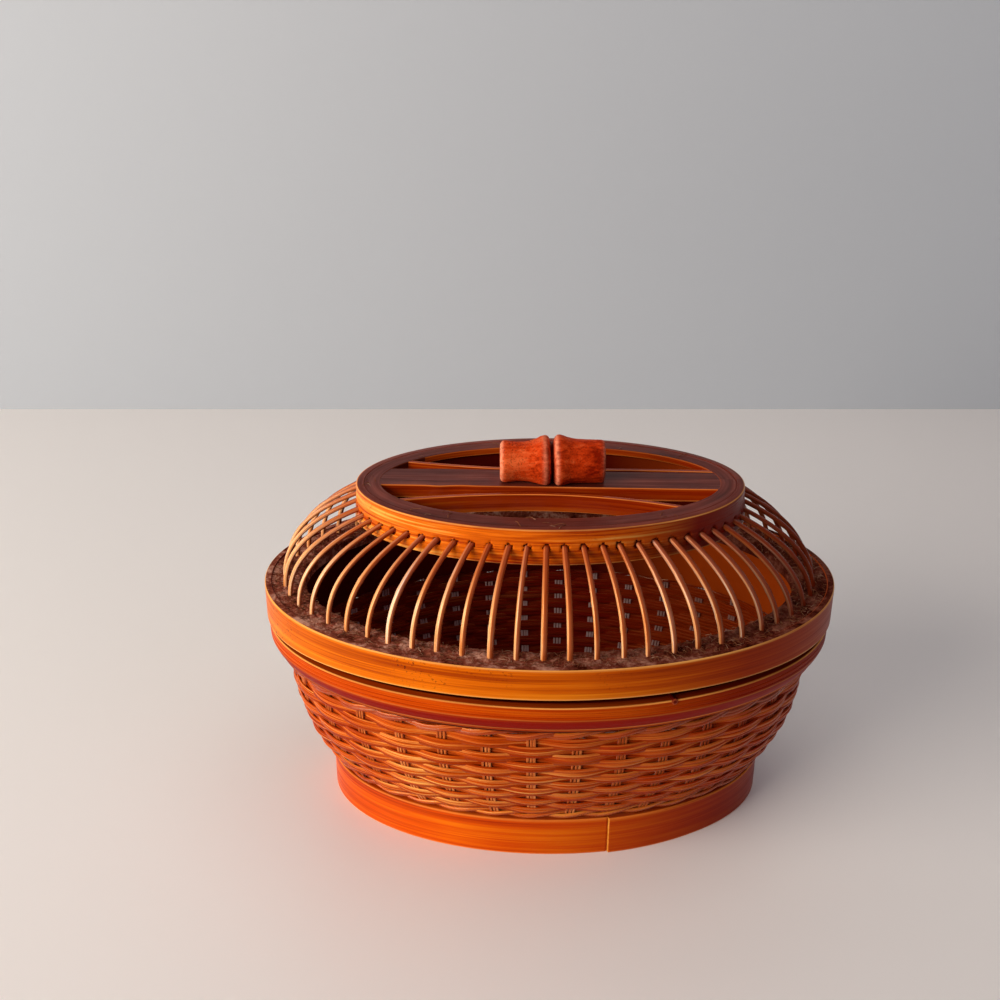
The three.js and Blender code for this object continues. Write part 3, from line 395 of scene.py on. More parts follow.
# %% [markdown]
# ## Bent hoops
#
# A hoop is a long bamboo strip, bent to an oval and glued on itself. Its section is a short list
# of corners. Each corner is softened with a small curve, and the section is carried round the
# oval in mesh code, because each corner follows an oval of its own. The same code makes boards
# and splints, which are strips with two ends.

# %% Points on an oval
def direction(oval, t):
    """The outward direction of an oval at the angles t."""
    x, y = oval[1] * np.cos(t), oval[0] * np.sin(t)
    size = np.hypot(x, y)
    return np.stack([x / size, y / size, np.zeros_like(x)], -1)


def on_oval(oval, t, offset=0.0, z=0.0):
    t = np.asarray(t, float)
    flat = np.stack([oval[0] * np.cos(t), oval[1] * np.sin(t), np.zeros_like(t) + z], -1)
    return flat + direction(oval, t) * np.asarray(offset + np.zeros_like(t))[..., None]


def even_angles(oval, count, shift=0.0):
    """Angles that cut an oval into equal lengths."""
    fine = np.linspace(0, 2 * np.pi, 7201)
    middle = (fine[1:] + fine[:-1]) / 2
    steps = np.hypot(oval[0] * np.sin(middle), oval[1] * np.cos(middle))
    walked = np.append(0, np.cumsum(steps))
    return np.interp(walked[-1] * (np.arange(count) + shift) / count, walked, fine)


def wander(t, seed, size):
    """A slow seeded unevenness round an oval, as a hand-bent strip has."""
    rng = np.random.default_rng(seed)
    waves = [rng.normal() * np.sin(n * t + rng.uniform(0, 6.28)) / n for n in range(2, 9)]
    return size * sum(waves)


# %% From sections to a mesh
# how pale each point round a softened corner is: edge wear and a painted highlight
CORNER_WEAR_AND_LIGHT = np.array([0.0, 0.6, 1.0, 1.0, 1.0, 0.6, 0.0])
SUPPORT = 1.6  # how much further than the curve the support points stand from the corner


def softened(sections, radius):
    """Each corner of closed sections (n, m, 3) becomes a small curve between two support points."""
    sides = [np.roll(sections, step, 1) - sections for step in (1, -1)]
    lengths = [np.linalg.norm(v, axis=-1, keepdims=True) for v in sides]
    first, last = [v / size * np.minimum(radius, 0.3 * size) for v, size in zip(sides, lengths)]
    points = [sections + first * SUPPORT]
    for u in (0.0, 0.25, 0.5, 0.75, 1.0):
        points.append(sections + first * (1 - u) ** 2 + last * u**2)
    points.append(sections + last * SUPPORT)
    return np.stack(points, 2).reshape(len(sections), -1, 3)


def lofted(sections, closed, own=0.0, worn=0.0):
    """A body from sections joined in order, with flat ends where it isn't closed: its points and
    outward faces, each face corner's place on the strip, and each point's paleness, from rubbing and a
    painted highlight."""
    n, m = sections.shape[:2]
    grid = np.meshgrid(np.arange(n if closed else n - 1), np.arange(m), indexing="ij")
    i, k = [v.ravel() for v in grid]
    ring, side = np.stack([i, i + 1, i + 1, i], 1), np.stack([k, k, k + 1, k + 1], 1)
    middles, first = sections.mean(1), sections[0]
    along, across = [np.append(0, np.linalg.norm(np.roll(v, -1, 0) - v, axis=1).cumsum()) * MM
                     for v in (middles, first)]
    places = list(np.stack([along[ring], across[side], np.full(ring.shape, own)], -1))
    faces = list(ring % n * m + side % m)
    if not closed:
        rows = np.arange(m)
        for end, order in ((0, rows), (n - 1, rows[::-1])):
            faces.append(end * m + order)
            places.append(np.stack([np.full(m, along[end]), across[order], np.full(m, own)], -1))
    points = sections.reshape(-1, 3)
    volume = 0
    for face in faces:
        a, b, c = points[face[0]], points[face[1:-1]], points[face[2:]]
        volume += (np.cross(b, c) @ a).sum()
    if volume < 0:
        faces, places = [face[::-1] for face in faces], [place[::-1] for place in places]
    return points, faces, places, np.broadcast_to(worn, (n, m)).ravel()


def strip_of(sections, radius, closed=False, own=0.0, rubbed=1.0):
    """The last argument says how pale the corners are, from rubbing and a painted highlight: one value,
    or one for each corner.
    """
    rubbed = np.broadcast_to(rubbed, sections.shape[1])
    wear_and_light = (rubbed[:, None] * CORNER_WEAR_AND_LIGHT).ravel()
    return lofted(softened(sections, radius), closed, own, wear_and_light)


# %% [markdown]
# Every piece is made a mesh object in the same way: its parts are joined, its two attributes are
# stored, and it is told which body it rides on, which finish it takes and which CAD nodes it
# stands for. A piece can have more than one finish, as where a hoop's inner side is painted
# dark as shade, so faces can be picked by where they are and which way they face.

# %% Pieces
def dressed(made, body, nodes):
    """Rides on its body and stands for its nodes."""
    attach(made, body)
    if nodes:
        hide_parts(*nodes)
    print(f"{made.name}: {len(made.data.polygons)} faces")
    return made


def piece(name, parts, material, body, nodes, smooth=40):
    """A mesh object from lofted parts in millimetres, riding on a body in place of CAD nodes."""
    vertices, faces, places, wear_and_light = [], [], [], []
    for points, part_faces, part_places, worn in parts:
        faces += [(face + len(vertices)).tolist() for face in part_faces]
        vertices += list(points * MM)
        places += part_places
        wear_and_light.append(worn)
    mesh = bpy.data.meshes.new(name)
    mesh.from_pydata(vertices, [], faces)
    strip = mesh.attributes.new("strip", "FLOAT_VECTOR", "CORNER")
    strip.data.foreach_set("vector", np.concatenate(places).ravel())
    worn = mesh.attributes.new("worn", "FLOAT", "POINT")
    worn.data.foreach_set("value", np.concatenate(wear_and_light))
    mesh.materials.append(FINISH[material])
    mesh.shade_smooth()
    mesh.set_sharp_from_angle(angle=math.radians(smooth))
    made = bpy.data.objects.new(name, mesh)
    scene.collection.objects.link(made)
    return dressed(made, body, nodes)


def paint(made, material, chosen):
    """Another finish for the faces that a test picks by place (mm) and how far they face up or out."""
    mesh = made.data
    places, normals = np.zeros((2, len(mesh.polygons), 3), np.float32)
    mesh.polygons.foreach_get("center", places.ravel())
    mesh.polygons.foreach_get("normal", normals.ravel())
    places /= MM
    away = places[:, :2] * (FLAT, 1)
    out = (normals[:, :2] * away).sum(1) / np.linalg.norm(away, axis=1)
    mesh.materials.append(FINISH[material])
    index = np.zeros(len(mesh.polygons), np.int32)
    mesh.polygons.foreach_get("material_index", index)
    index[chosen(*places.T, normals[:, 2], out)] = len(mesh.materials) - 1
    mesh.polygons.foreach_set("material_index", index)


# %% [markdown]
# ## Foot and rim
#
# The foot has a lap seam on its right front, where the strip's cut end shows as a pale line. The
# rim's upper band stands upright with fine turned lines, and its lower part curves under, where it
# is painted dark as shade. What faces inwards is painted with the dark inner finish, as shade,
# because light hardly reaches it.

# %% Walls and hoops
LEAN_PAST_RIM = 0.09  # how much the stakes still lean out where the rim holds them
FOOT_TURNS = even_angles(OVALS["foot"], 300)


def wall_oval(z, more=0.0):
    """The surface that the stakes' middles stand on, at a height."""
    s = (min(z, RIM_BOTTOM) - FOOT_TOP) / (RIM_BOTTOM - FOOT_TOP)
    out = WALL_FLARE * (s + WALL_BULGE * s * (1 - s)) + more - WALL_HALF
    out += LEAN_PAST_RIM * max(z - RIM_BOTTOM, 0)
    return OVALS["wall_foot"][0] + out, OVALS["wall_foot"][1] + out


def hoop(corners, seed, radius=0.5, uneven=0.12, shape=None, t=FOOT_TURNS, rubbed=1.0):
    """Corners are (oval, offset, height); shape may bend the sections before they are softened."""
    out, up = wander(t, seed, uneven), wander(t, seed + 1, uneven * 0.7)
    sections = np.stack([on_oval(OVALS.get(o, o), t, more + out, z + up) for o, more, z in corners], 1)
    if shape:
        sections = shape(t, sections)
    return strip_of(sections, radius, True, seed, rubbed)


def box_hoop(oval, thick, low, high, **more):
    return hoop([(oval, 0, low), (oval, 0, high), (oval, -thick, high), (oval, -thick, low)], **more)


# %% Foot
SEAM_TURN, CUT_TURN, LAP_FADE = map(math.radians, (-75.5, 0.12, 25))
LAP_STEP, LAP_GAP, FOOT_STRIP, LINING, LINING_STRIP = 0.7, 0.35, 3.1, (76.2, 44.5), 2.8


def lap_seam(t, sections):
    """The strip's end lies on its start: a step outwards that fades along the strip."""
    past = (t - SEAM_TURN) % (2 * np.pi)
    lap = LAP_STEP * np.clip(1 - past / LAP_FADE, 0, 1)
    lap -= LAP_GAP * (np.abs(past - 2 * np.pi + CUT_TURN) < 0.001)
    sections[:, :2] += (direction(OVALS["foot"], t) * lap[:, None])[:, None]
    sections[..., 2] = np.maximum(sections[..., 2], 0.0)
    return sections


seam_sides = SEAM_TURN % (2 * math.pi) + np.array([math.radians(-0.45), -CUT_TURN, CUT_TURN])
seam_x = OVALS["foot"][0] * math.cos(SEAM_TURN)
foot_turns = np.sort(np.append(FOOT_TURNS, seam_sides))
foot = box_hoop("foot", FOOT_STRIP, 0.0, FOOT_TOP, seed=11, uneven=0.06, shape=lap_seam, t=foot_turns)
foot = piece("foot_hoop", [foot], "foot", "bowl", ["foot_outer_hoop"])
paint(foot, "cut", lambda x, y, z, up, out: (abs(x - seam_x) < 0.2) & (y < 0) & (up < 0.5) & (out > 0))
# painted shade: the lining inside the foot takes the dark inner finish
piece("foot_lining", [box_hoop(LINING, LINING_STRIP, 1.2, FOOT_TOP, seed=13)],
      "inner", "bowl", ["foot_inner_hoop"])

# %% Rim
RIM_SECTION = [(0, RIM_TOP, 1), (0.05, 70, 0), (-0.16, 69.85, 0), (0.05, 69.7, 0), (0.05, 68.5, 0),
               (-0.16, 68.35, 0), (0.02, 68.2, 0), (0, 67.2, 0.25), (-0.2, 66.6, 0), (-0.9, 65, 0),
               (-1.8, 63.5, 0), (-2.6, 62.4, 0.5), (-2.6, 61.7, 0.3), (-3.2, 61.7, 0),
               (-3.2, RIM_TOP, 0.2)]  # offset, height and paleness of each corner: edge wear with a painted highlight
CLAMPED, CORE_LOW, COLLAR_LOW, COLLAR_STEP = 71.6, 58.8, 57.9, 72.2
rim = hoop([("rim", out, z) for out, z, _ in RIM_SECTION], 17, 0.35, rubbed=[c[2] for c in RIM_SECTION])
rim = piece("rim_hoop", [rim], "rim", "bowl", ["rim_outer_hoop"])
# painted shade on what faces inwards
paint(rim, "inner", lambda x, y, z, up, out: out < -0.2)
# painted shade: the core and the collar inside the rim take the dark inner finish
core = [("rim", -3.5, 62.2), ("rim", -3.5, 71.7), (wall_oval(CLAMPED), 1.15, 71.7),
        (wall_oval(CORE_LOW), 1.15, CORE_LOW)]
piece("rim_core", [hoop(core, 19, 0.3, 0.0)], "inner", "bowl", ["rim_core_hoop"])
collar = [(wall_oval(COLLAR_LOW), -1.15, COLLAR_LOW), (wall_oval(CLAMPED), -1.15, COLLAR_STEP),
          ("rib_foot", 0.5, COLLAR_STEP), ("rib_foot", 0.5, COLLAR_TOP),
          (wall_oval(CLAMPED), -4.15, COLLAR_TOP), (wall_oval(COLLAR_LOW), -2.6, COLLAR_LOW)]
piece("rim_collar_hoop", [hoop(collar, 23, 0.4, 0.0)],
      "inner", "bowl", ["rim_collar"])

# %% [markdown]
# The lid hoop is one flat strip on edge. Its lower edge dips at both ends, so that the dark gap
# above the rim narrows there. A bamboo peg stands in the rim's top edge and shows in that gap.

# %% Lid hoop
LID_STRIP, EDGE_DIP = 2.5, 2.2


def dipping_edge(t, sections):
    """The lower edge hangs lower at both ends of the oval."""
    sections[:, (0, 3), 2] -= EDGE_DIP * np.cos(t)[:, None] ** 4
    return sections


lid_hoop = box_hoop("lid", LID_STRIP, LID_BOTTOM, LID_TOP, seed=29, shape=dipping_edge, rubbed=0.75)
lid_hoop = piece("lid_outer_hoop", [lid_hoop], "lid_hoop", "lid", ["lid_hoop"])
# painted shade under and inside the lid hoop
paint(lid_hoop, "inner", lambda x, y, z, up, out: (up < -0.7) | (out < -0.3))
paint(lid_hoop, "ledge", lambda x, y, z, up, out: up > 0.97)

# %% The peg in the rim
# each ring of the peg: offset out, radius, and paleness; the pale tip is part wear, part painted
# highlight
PEG_PROFILE = [(-4.6, 0.9, 0), (-0.1, 1.05, 0), (0.2, 1.05, 0.3), (0.35, 0.9, 0.7), (0.4, 0.4, 0)]
peg_turn, circle = math.radians(-68.3), np.linspace(0, 2 * np.pi, 25)[:-1]
peg_side = np.cross([0, 0, 1], direction(OVALS["rim"], np.array([peg_turn]))[0])
round_peg = np.outer(np.cos(circle), peg_side) + np.outer(np.sin(circle), [0, 0, 1])
peg = np.array([on_oval(OVALS["rim"], peg_turn, out, RIM_TOP - 0.5) + r * round_peg
                for out, r, _ in PEG_PROFILE])
piece("rim_peg_end", [lofted(peg, False, 21, np.array([[p[2]] for p in PEG_PROFILE]))],
      "peg", "bowl", ["rim_peg"])

# %% [markdown]
# ## Ledge
#
# The ledge inside the lid hoop is coir, pressed into a ring, with dust on it. Its top is a fine
# grid with seeded lumps, because no plain section would look pressed by hand.

# %% Ledge
LEDGE_START, LEDGE_END, LEDGE_BOTTOM, LUMP, EDGE_ROWS = -2.35, -13.6, 76.0, 0.26, 16
ledge_turns = even_angles(OVALS["ledge"], 720)
level = np.zeros_like(ledge_turns)
steps_in = np.linspace(LEDGE_START, LEDGE_END, 21)
rough = np.random.default_rng(31).normal(0, LUMP, (len(ledge_turns), len(steps_in)))
rough = (rough + np.roll(rough, 1, 0) + np.roll(rough, -1, 0)) / 2
profile = [("lid", LEDGE_START, LEDGE_BOTTOM + level)]
for i, inset in enumerate(steps_in):
    share = (LEDGE_START - inset) / (LEDGE_START - LEDGE_END)
    narrower = 0.55 * share * (1 - np.cos(2 * ledge_turns))  # the ledge is narrower in front and behind
    fall = 0.9 * max(0, (i - EDGE_ROWS) / 4) ** 2  # and rounds off towards the opening
    top = LID_TOP - 0.45 - fall + rough[:, i] * min(1, 0.3 + i / 3) + wander(ledge_turns, 40 + i, 0.05)
    profile.append(("lid", inset + narrower, np.minimum(top, LID_TOP + 0.1)))
for oval, inset, z in (("ledge", 0.25, LID_TOP - 2.6), ("ledge", 0.2, LID_SEAT),
                       ("rib_foot", 1.1, LID_SEAT), ("rib_foot", 1.1, LEDGE_BOTTOM)):
    profile.append((oval, inset, z + level))
sections = np.stack([on_oval(OVALS[o], ledge_turns, offset, z) for o, offset, z in profile], 1)
ledge = piece("ledge_ring", [lofted(sections, True, 31)],
              "ledge", "lid", ["lid_core_outer", "lid_core_inner"], smooth=80)

# %% [markdown]
# ## Trees for what repeats
#
# Fibres, woven strands and ribs repeat, so Geometry Nodes make them. All three are a section that
# is swept along lines. What they share is written once: the empty tree, the section, the end of
# the tree, and the run that turns its result to a plain mesh, as an export needs it.


# %% Trees and what grows from them
def new_tree(name, inputs):
    """A geometry tree with an output and named inputs, what adds to it, and its inputs' node."""
    tree = bpy.data.node_groups.new(name, "GeometryNodeTree")
    tree.interface.new_socket(name="Geometry", in_out="OUTPUT", socket_type="NodeSocketGeometry")
    for kind, labels in inputs.items():
        for label in labels.split(", "):
            tree.interface.new_socket(name=label, in_out="INPUT", socket_type="NodeSocket" + kind)
    add = functools.partial(put, tree)
    return tree, add, add("GroupInput")


def grown(tree, name, material, body, nodes, values, ground=None):
    """Runs a tree, on the ground mesh if there is one, and keeps the result as a plain mesh."""
    made = bpy.data.objects.new(name, ground.data if ground else bpy.data.meshes.new(name + "_seed"))
    scene.collection.objects.link(made)
    modifier = made.modifiers.new(name, "NODES")
    modifier.node_group = tree
    labels = {s.name: s.identifier for s in tree.interface.items_tree if s.in_out == "INPUT"}
    for label, value in {**values, "Finish": FINISH[material]}.items():
        modifier[labels[label]] = value
    graph = bpy.context.evaluated_depsgraph_get()
    mesh = bpy.data.meshes.new_from_object(made.evaluated_get(graph))
    made.modifiers.clear()
    mesh.name, made.data = name, mesh
    return dressed(made, body, nodes)


def section(add, place, points, width, height, power):
    """A closed section between an ellipse and a box, with the way round it stored as across."""
    ring = add("CurvePrimitiveCircle", points)
    parts = add("SeparateXYZ", place)
    sides = []
    for axis, size in (("X", width), ("Y", height)):
        amount = add("POWER", add("ABSOLUTE", parts[axis]), power)
        amount = add("MULTIPLY", amount, add("SIGN", parts[axis]))
        sides.append(add("MULTIPLY", amount, add("MULTIPLY", size, 0.5)))
    ring = add("SetPosition", ring, None, add("CombineXYZ", *sides, 0.0))
    return add("StoreNamedAttribute", ring, None, "across", add("SplineParameter")["Factor"])


def finished(add, mesh, finish, length, girth):
    """Stores the strip attribute from along, across and own, and ends the tree."""
    mesh = add("RealizeInstances", mesh)
    along, across, own = [add("InputNamedAttribute", label)[0] for label in ("along", "across", "own")]
    strip = add("CombineXYZ", add("MULTIPLY", along, length), add("MULTIPLY", across, girth), own)
    mesh = add("StoreNamedAttribute", mesh, None, "strip", strip, data_type="FLOAT_VECTOR")
    add("GroupOutput", add("SetMaterial", mesh, None, finish))


# %% [markdown]
# Loose fibres lie on the ledge in every direction, and some on the ring. There are thousands and
# each is only a bent thread, so one thread of few faces is scattered on the faces that look up.

# %% Loose fibres
litter, add, given = new_tree("loose fibres", {
    "Geometry": "Ground", "Float": "Density, Length, Thickness, Lowest", "Int": "Seed",
    "Material": "Finish"})
UPWARD = 0.4
place = add("InputPosition")
upward = add("GREATER_THAN", add("SeparateXYZ", add("InputNormal"))["Z"], UPWARD)
high_up = add("GREATER_THAN", add("SeparateXYZ", place)["Z"], given["Lowest"])
points = add("DistributePointsOnFaces", given["Ground"], add("MULTIPLY", upward, high_up),
             Density=given["Density"], Seed=given["Seed"])["Points"]
bow = add("CurvePrimitiveBezierSegment", Resolution=4, Start=(-0.5, 0, -0.05),
          Start_Handle=(-0.2, 0.12, 0.16), End_Handle=(0.2, -0.1, 0.12), End=(0.5, 0.08, -0.03))
thin = add("DIVIDE", given["Thickness"], given["Length"])
thread = add("SetPosition", add("CurvePrimitiveCircle", 3, Radius=0.5), None,
             add("VectorMath.SCALE", place, Scale=thin))
factor = add("SplineParameter")["Factor"]
bow, thread = [add("StoreNamedAttribute", curve, None, label, factor)
               for curve, label in ((bow, "along"), (thread, "across"))]
bow = add("CurveToMesh", bow, thread, Fill_Caps=True)
turn = add("RandomValue", (-0.35, -0.35, 0.0), (0.35, 0.35, 6.283), Seed=given["Seed"],
           data_type="FLOAT_VECTOR")["Value"]
size, own = [add("RandomValue", None, None, least, most, Seed=seed)[1]
             for least, most, seed in ((0.35, 1.3, 4), (0.0, 60.0, 5))]
threads = add("InstanceOnPoints", points, None, bow, Rotation=turn,
              Scale=add("MULTIPLY", size, given["Length"]))
threads = add("StoreNamedAttribute", threads, None, "own", own, domain="INSTANCE")
finished(add, threads, given["Finish"], given["Length"], 0.0)
grown(litter, "ledge_fibres", "fibre", "lid", [],
      {"Density": 520000.0, "Length": 0.0026, "Thickness": 0.00016, "Lowest": 0.0838, "Seed": 9}, ledge)

# %% [markdown]
# ## The woven wall
#
# Thirty-two stakes stand in the wall, and twelve rows of split cane pass them outside and inside
# by turns. A row is a flat bundle of three thin strands, and the rows are beaten down until they
# touch. Under the rim and above the foot two pairs of strands twist round each other between the
# stakes. All of these follow one rule: a closed oval, moved out and in by a cosine that has one
# half wave for each stake. So one Geometry Nodes tree makes them, with the numbers of rows and
# strands, the heights and the twist as its inputs.

# %% A tree for strands that pass the stakes
STEPS = 8  # points of a strand between two stakes
BOXY = 0.75  # 1 makes a section an ellipse, 0 a box
LENGTH, GIRTH = 0.46, 0.0035  # a strand's length round the wall and the way round its section
weave, add, given = new_tree("strands past stakes", {
    "Int": "Rows, Strands, Seed", "Material": "Finish",
    "Float": "First height, Last height, Swing, Bulge, Twist, Strand pitch, Thickness, Height, "
             "Wander, Phase"})
base = OVALS["wall_foot"]
place, size = add("InputPosition"), (base[0] * MM, base[1] * MM, 1)
oval = add("SetPosition", add("CurvePrimitiveCircle", 512), None,
           add("VectorMath.MULTIPLY", place, size))
oval = add("ResampleCurve", oval, None, STAKES * STEPS, mode="COUNT")
unit = add("SeparateXYZ", add("VectorMath.DIVIDE", place, size))
for label, value in (("turn", add("ARCTAN2", unit["Y"], unit["X"])),
                     ("step", add("SplineParameter")["Index"])):
    oval = add("StoreNamedAttribute", oval, None, label, value)
turn, step = [add("InputNamedAttribute", label)[0] for label in ("turn", "step")]
copies = add("DuplicateElements", oval, None, add("MULTIPLY", given["Rows"], given["Strands"]),
             domain="SPLINE")
count = copies["Duplicate Index"]
row = add("FLOOR", add("DIVIDE", count, given["Strands"]))
strand = add("MODULO", count, given["Strands"])
own = add("ADD", count, given["Seed"])

# %% Out and in past the stakes
# every row passes the stakes the other way round
phase = add("MULTIPLY_ADD", step, math.pi / STEPS, -math.pi / 2)
phase = add("ADD", add("MULTIPLY_ADD", row, math.pi, phase), given["Phase"])
wave = add("COSINE", phase)
swing = add("MULTIPLY", wave, given["Swing"])
twist = add("MULTIPLY", add("SINE", phase), given["Twist"])
share = add("DIVIDE", row, add("MAXIMUM", add("SUBTRACT", given["Rows"], 1.0), 1.0))
height = add("Mix", share, None, given["First height"], given["Last height"])

# %% Strands of one row
# they lie on each other, the middle ones a little proud, and each wanders by itself
centre = add("MULTIPLY", add("SUBTRACT", given["Strands"], 1.0), 0.5)
from_centre = add("SUBTRACT", strand, centre)
stack = add("MULTIPLY", from_centre, given["Strand pitch"])
aside = add("DIVIDE", add("ABSOLUTE", from_centre), centre)
proud = add("MULTIPLY", wave, add("MULTIPLY", add("SUBTRACT", 1.0, aside), given["Bulge"]))
lane = add("CombineXYZ", 0.0, 0.0, add("MULTIPLY", own, 7.31))  # a noise of its own for each
where = add("VectorMath.MULTIPLY", place, (45, 45, 0))  # one bend in about 22 mm
where = add("VectorMath.ADD", where, lane)
cloud = add("TexNoise", where, Scale=1.0, Detail=3.0)["Color"]
cloud = add("VectorMath.SUBTRACT", cloud, (0.5, 0.5, 0.5))
cloud = add("SeparateXYZ", add("VectorMath.SCALE", cloud, Scale=given["Wander"]))
up = add("ADD", add("ADD", stack, twist), cloud["X"])
out = add("ADD", add("ADD", swing, proud), cloud["Y"])


# %% On the leaning wall
def wall_share(z):
    """How far up the wall a height is, from 0 at the foot to 1 at the rim."""
    return add("DIVIDE", add("SUBTRACT", z, FOOT_TOP * MM), (RIM_BOTTOM - FOOT_TOP) * MM)


# the wall leans as its bulging profile does at that height
slope = add("MULTIPLY_ADD", wall_share(height), -2 * WALL_BULGE, 1 + WALL_BULGE)
lean = add("ARCTANGENT", add("MULTIPLY", slope, WALL_FLARE / (RIM_BOTTOM - FOOT_TOP)))
sine, cosine = [add(kind, lean) for kind in ("SINE", "COSINE")]
z = add("MULTIPLY_ADD", up, cosine, height)
z = add("MULTIPLY_ADD", out, add("MULTIPLY", sine, -1.0), z)

# the wall's oval at the strand's own height, and the strand moved out from it
share = wall_share(z)
bulge = add("MULTIPLY", add("SUBTRACT", 1.0, share), share)
share = add("MULTIPLY_ADD", bulge, WALL_BULGE, share)
a, b = [add("MULTIPLY_ADD", share, WALL_FLARE * MM, (half - WALL_HALF) * MM) for half in base]
cos_t, sin_t = [add(kind, turn) for kind in ("COSINE", "SINE")]
on_wall = add("CombineXYZ", add("MULTIPLY", a, cos_t), add("MULTIPLY", b, sin_t), z)
facing = add("CombineXYZ", add("MULTIPLY", b, cos_t), add("MULTIPLY", a, sin_t), 0.0)
facing = add("VectorMath.NORMALIZE", facing)
moved = add("VectorMath.SCALE", facing, Scale=add("MULTIPLY", out, cosine))

# %% Strands with a section
# each keeps its own number and its length along for the finish; the lowest of a row is marked to be
# painted darker, as shade where the row's lower edge tucks under
lines = copies
for label, value in (("along", add("MULTIPLY", step, 1 / (STAKES * STEPS))), ("own", own),
                     ("worn", add("SUBTRACT", 1.0, strand, use_clamp=True))):
    lines = add("StoreNamedAttribute", lines, None, label, value)
lines = add("SetPosition", lines, None, add("VectorMath.ADD", on_wall, moved))
lines = add("SetCurveTilt", add("SetCurveNormal", lines, mode="Z_UP"), None, lean)
ring = section(add, place, 10, given["Thickness"], given["Height"], BOXY)
finished(add, add("CurveToMesh", lines, ring, Fill_Caps=True), given["Finish"], LENGTH, GIRTH)
print("strands past stakes:", len(weave.nodes), "nodes")

# %% Rows and twined strands
LOW_ROW, HIGH_ROW = 0.0208, 0.0541
CROWDING = 0.04  # the rows lie closer where the wall leans most
for name, first, last in (("lower_rows", 0, 6), ("upper_rows", 6, 12)):
    at = [k / (ROWS - 1) for k in (first, last - 1)]
    low, high = [LOW_ROW + (HIGH_ROW - LOW_ROW) * (u - CROWDING * u * (1 - u)) for u in at]
    grown(weave, name, "strand", "bowl",
          [f"weaver_row_{i + 1:02d}" for i in range(first, last)],
          {"Rows": last - first, "Strands": 3, "First height": low, "Last height": high,
           "Swing": 0.00068, "Bulge": 0.0003, "Twist": 0.0, "Strand pitch": 0.0013,
           "Thickness": 0.0008, "Height": 0.00158, "Wander": 0.0008, "Phase": math.pi,
           "Seed": 3 + first * 3})
for name, low, high in (("lower_twine", 0.0173, 0.0169), ("upper_twine", 0.058, 0.0573)):
    grown(weave, name, "twine", "bowl", [name + "_a", name + "_b"],
          {"Rows": 2, "Strands": 2, "First height": low, "Last height": high, "Swing": 0.0009,
           "Bulge": 0.0, "Twist": 0.00095, "Strand pitch": 0.001, "Thickness": 0.001,
           "Height": 0.00142, "Wander": 0.0004, "Phase": 0.0, "Seed": 60})

# %% [markdown]
# ## Ribs
#
# Sixty split ribs rise from the ledge and bend over into holes in the top ring. Each is a line
# from its foot to its mouth whose way in grows faster than its way up. A rib is cut with a knife,
# so its section is nearly a box, and here and there it has a joint of the cane.

# %% A tree for the ribs
RIB_LENGTH, RIB_GIRTH = 0.055, 0.006
PUSHED = -0.28  # the bend's change from the middle to the right end
FRONT_DROP, END_DROP = 0.0014, 0.0019  # how much lower the mouths sit in front, and at its ends
JOINT_SWELL, JOINT_SHORT = 0.16, 45.0
foot, mouth = OVALS["rib_foot"], [half - 0.9 for half in OVALS["ring"]]
FOOT_Z, MOUTH_Z = (LID_TOP - 2.5) * MM, (RIB_ENTRY + 0.3) * MM
cage, add, given = new_tree("ribs of the cage", {
    "Int": "Ribs, Seed", "Float": "Width, Thickness, Bend, Uneven", "Material": "Finish"})
place, size = add("InputPosition"), (foot[0] * MM, foot[1] * MM, 1)
oval = add("SetPosition", add("CurvePrimitiveCircle", 512), None,
           add("VectorMath.MULTIPLY", place, size))
line = add("CurvePrimitiveLine", (0, 0, 0), (0, 0, 1))
line = add("ResampleCurve", line, None, 34, mode="COUNT")
line = add("StoreNamedAttribute", line, None, "along", add("SplineParameter")["Factor"])
h = add("InputNamedAttribute", "along")[0]
copies = add("DuplicateElements", line, None, given["Ribs"], domain="SPLINE")
count = copies["Duplicate Index"]
lots = [add("RandomValue", None, None, -1.0, 1.0, ID=count, Seed=seed)[1] for seed in (5, 6, 7, 8)]
around = add("ADD", add("MULTIPLY_ADD", lots[0], 0.05, 0.5), count)
around = add("DIVIDE", around, given["Ribs"])
start = add("SampleCurve", oval, None, around, mode="FACTOR")["Position"]
unit = add("SeparateXYZ", add("VectorMath.DIVIDE", start, size))

# %% From the ledge to the ring
# less bend on the right than on the left, as the basket has been pushed
bend = add("MULTIPLY_ADD", unit["X"], PUSHED, given["Bend"])
bend = add("MULTIPLY_ADD", lots[1], given["Uneven"], bend)
inward = add("POWER", h, add("MULTIPLY_ADD", h, 0.5, bend))
a, b = [add("MULTIPLY_ADD", inward, (mouth[i] - foot[i]) * MM, foot[i] * MM) for i in (0, 1)]

# the mouths in front sit lower in the band than those at the back, most of all at both ends
low = add("MULTIPLY_ADD", add("POWER", unit["X"], 2.0), END_DROP, FRONT_DROP)
low = add("MULTIPLY", low, add("MapRange", unit["Y"], 0.3, -0.3))
z = add("MULTIPLY_ADD", h, add("SUBTRACT", MOUTH_Z - FOOT_Z, low), FOOT_Z)
final = add("CombineXYZ", add("MULTIPLY", a, unit["X"]), add("MULTIPLY", b, unit["Y"]), z)
lines = add("StoreNamedAttribute", copies, None, "own", add("ADD", count, given["Seed"]))
lines = add("SetCurveNormal", add("SetPosition", lines, None, final), mode="Z_UP")
print("ribs so far:", len(cage.nodes), "nodes")

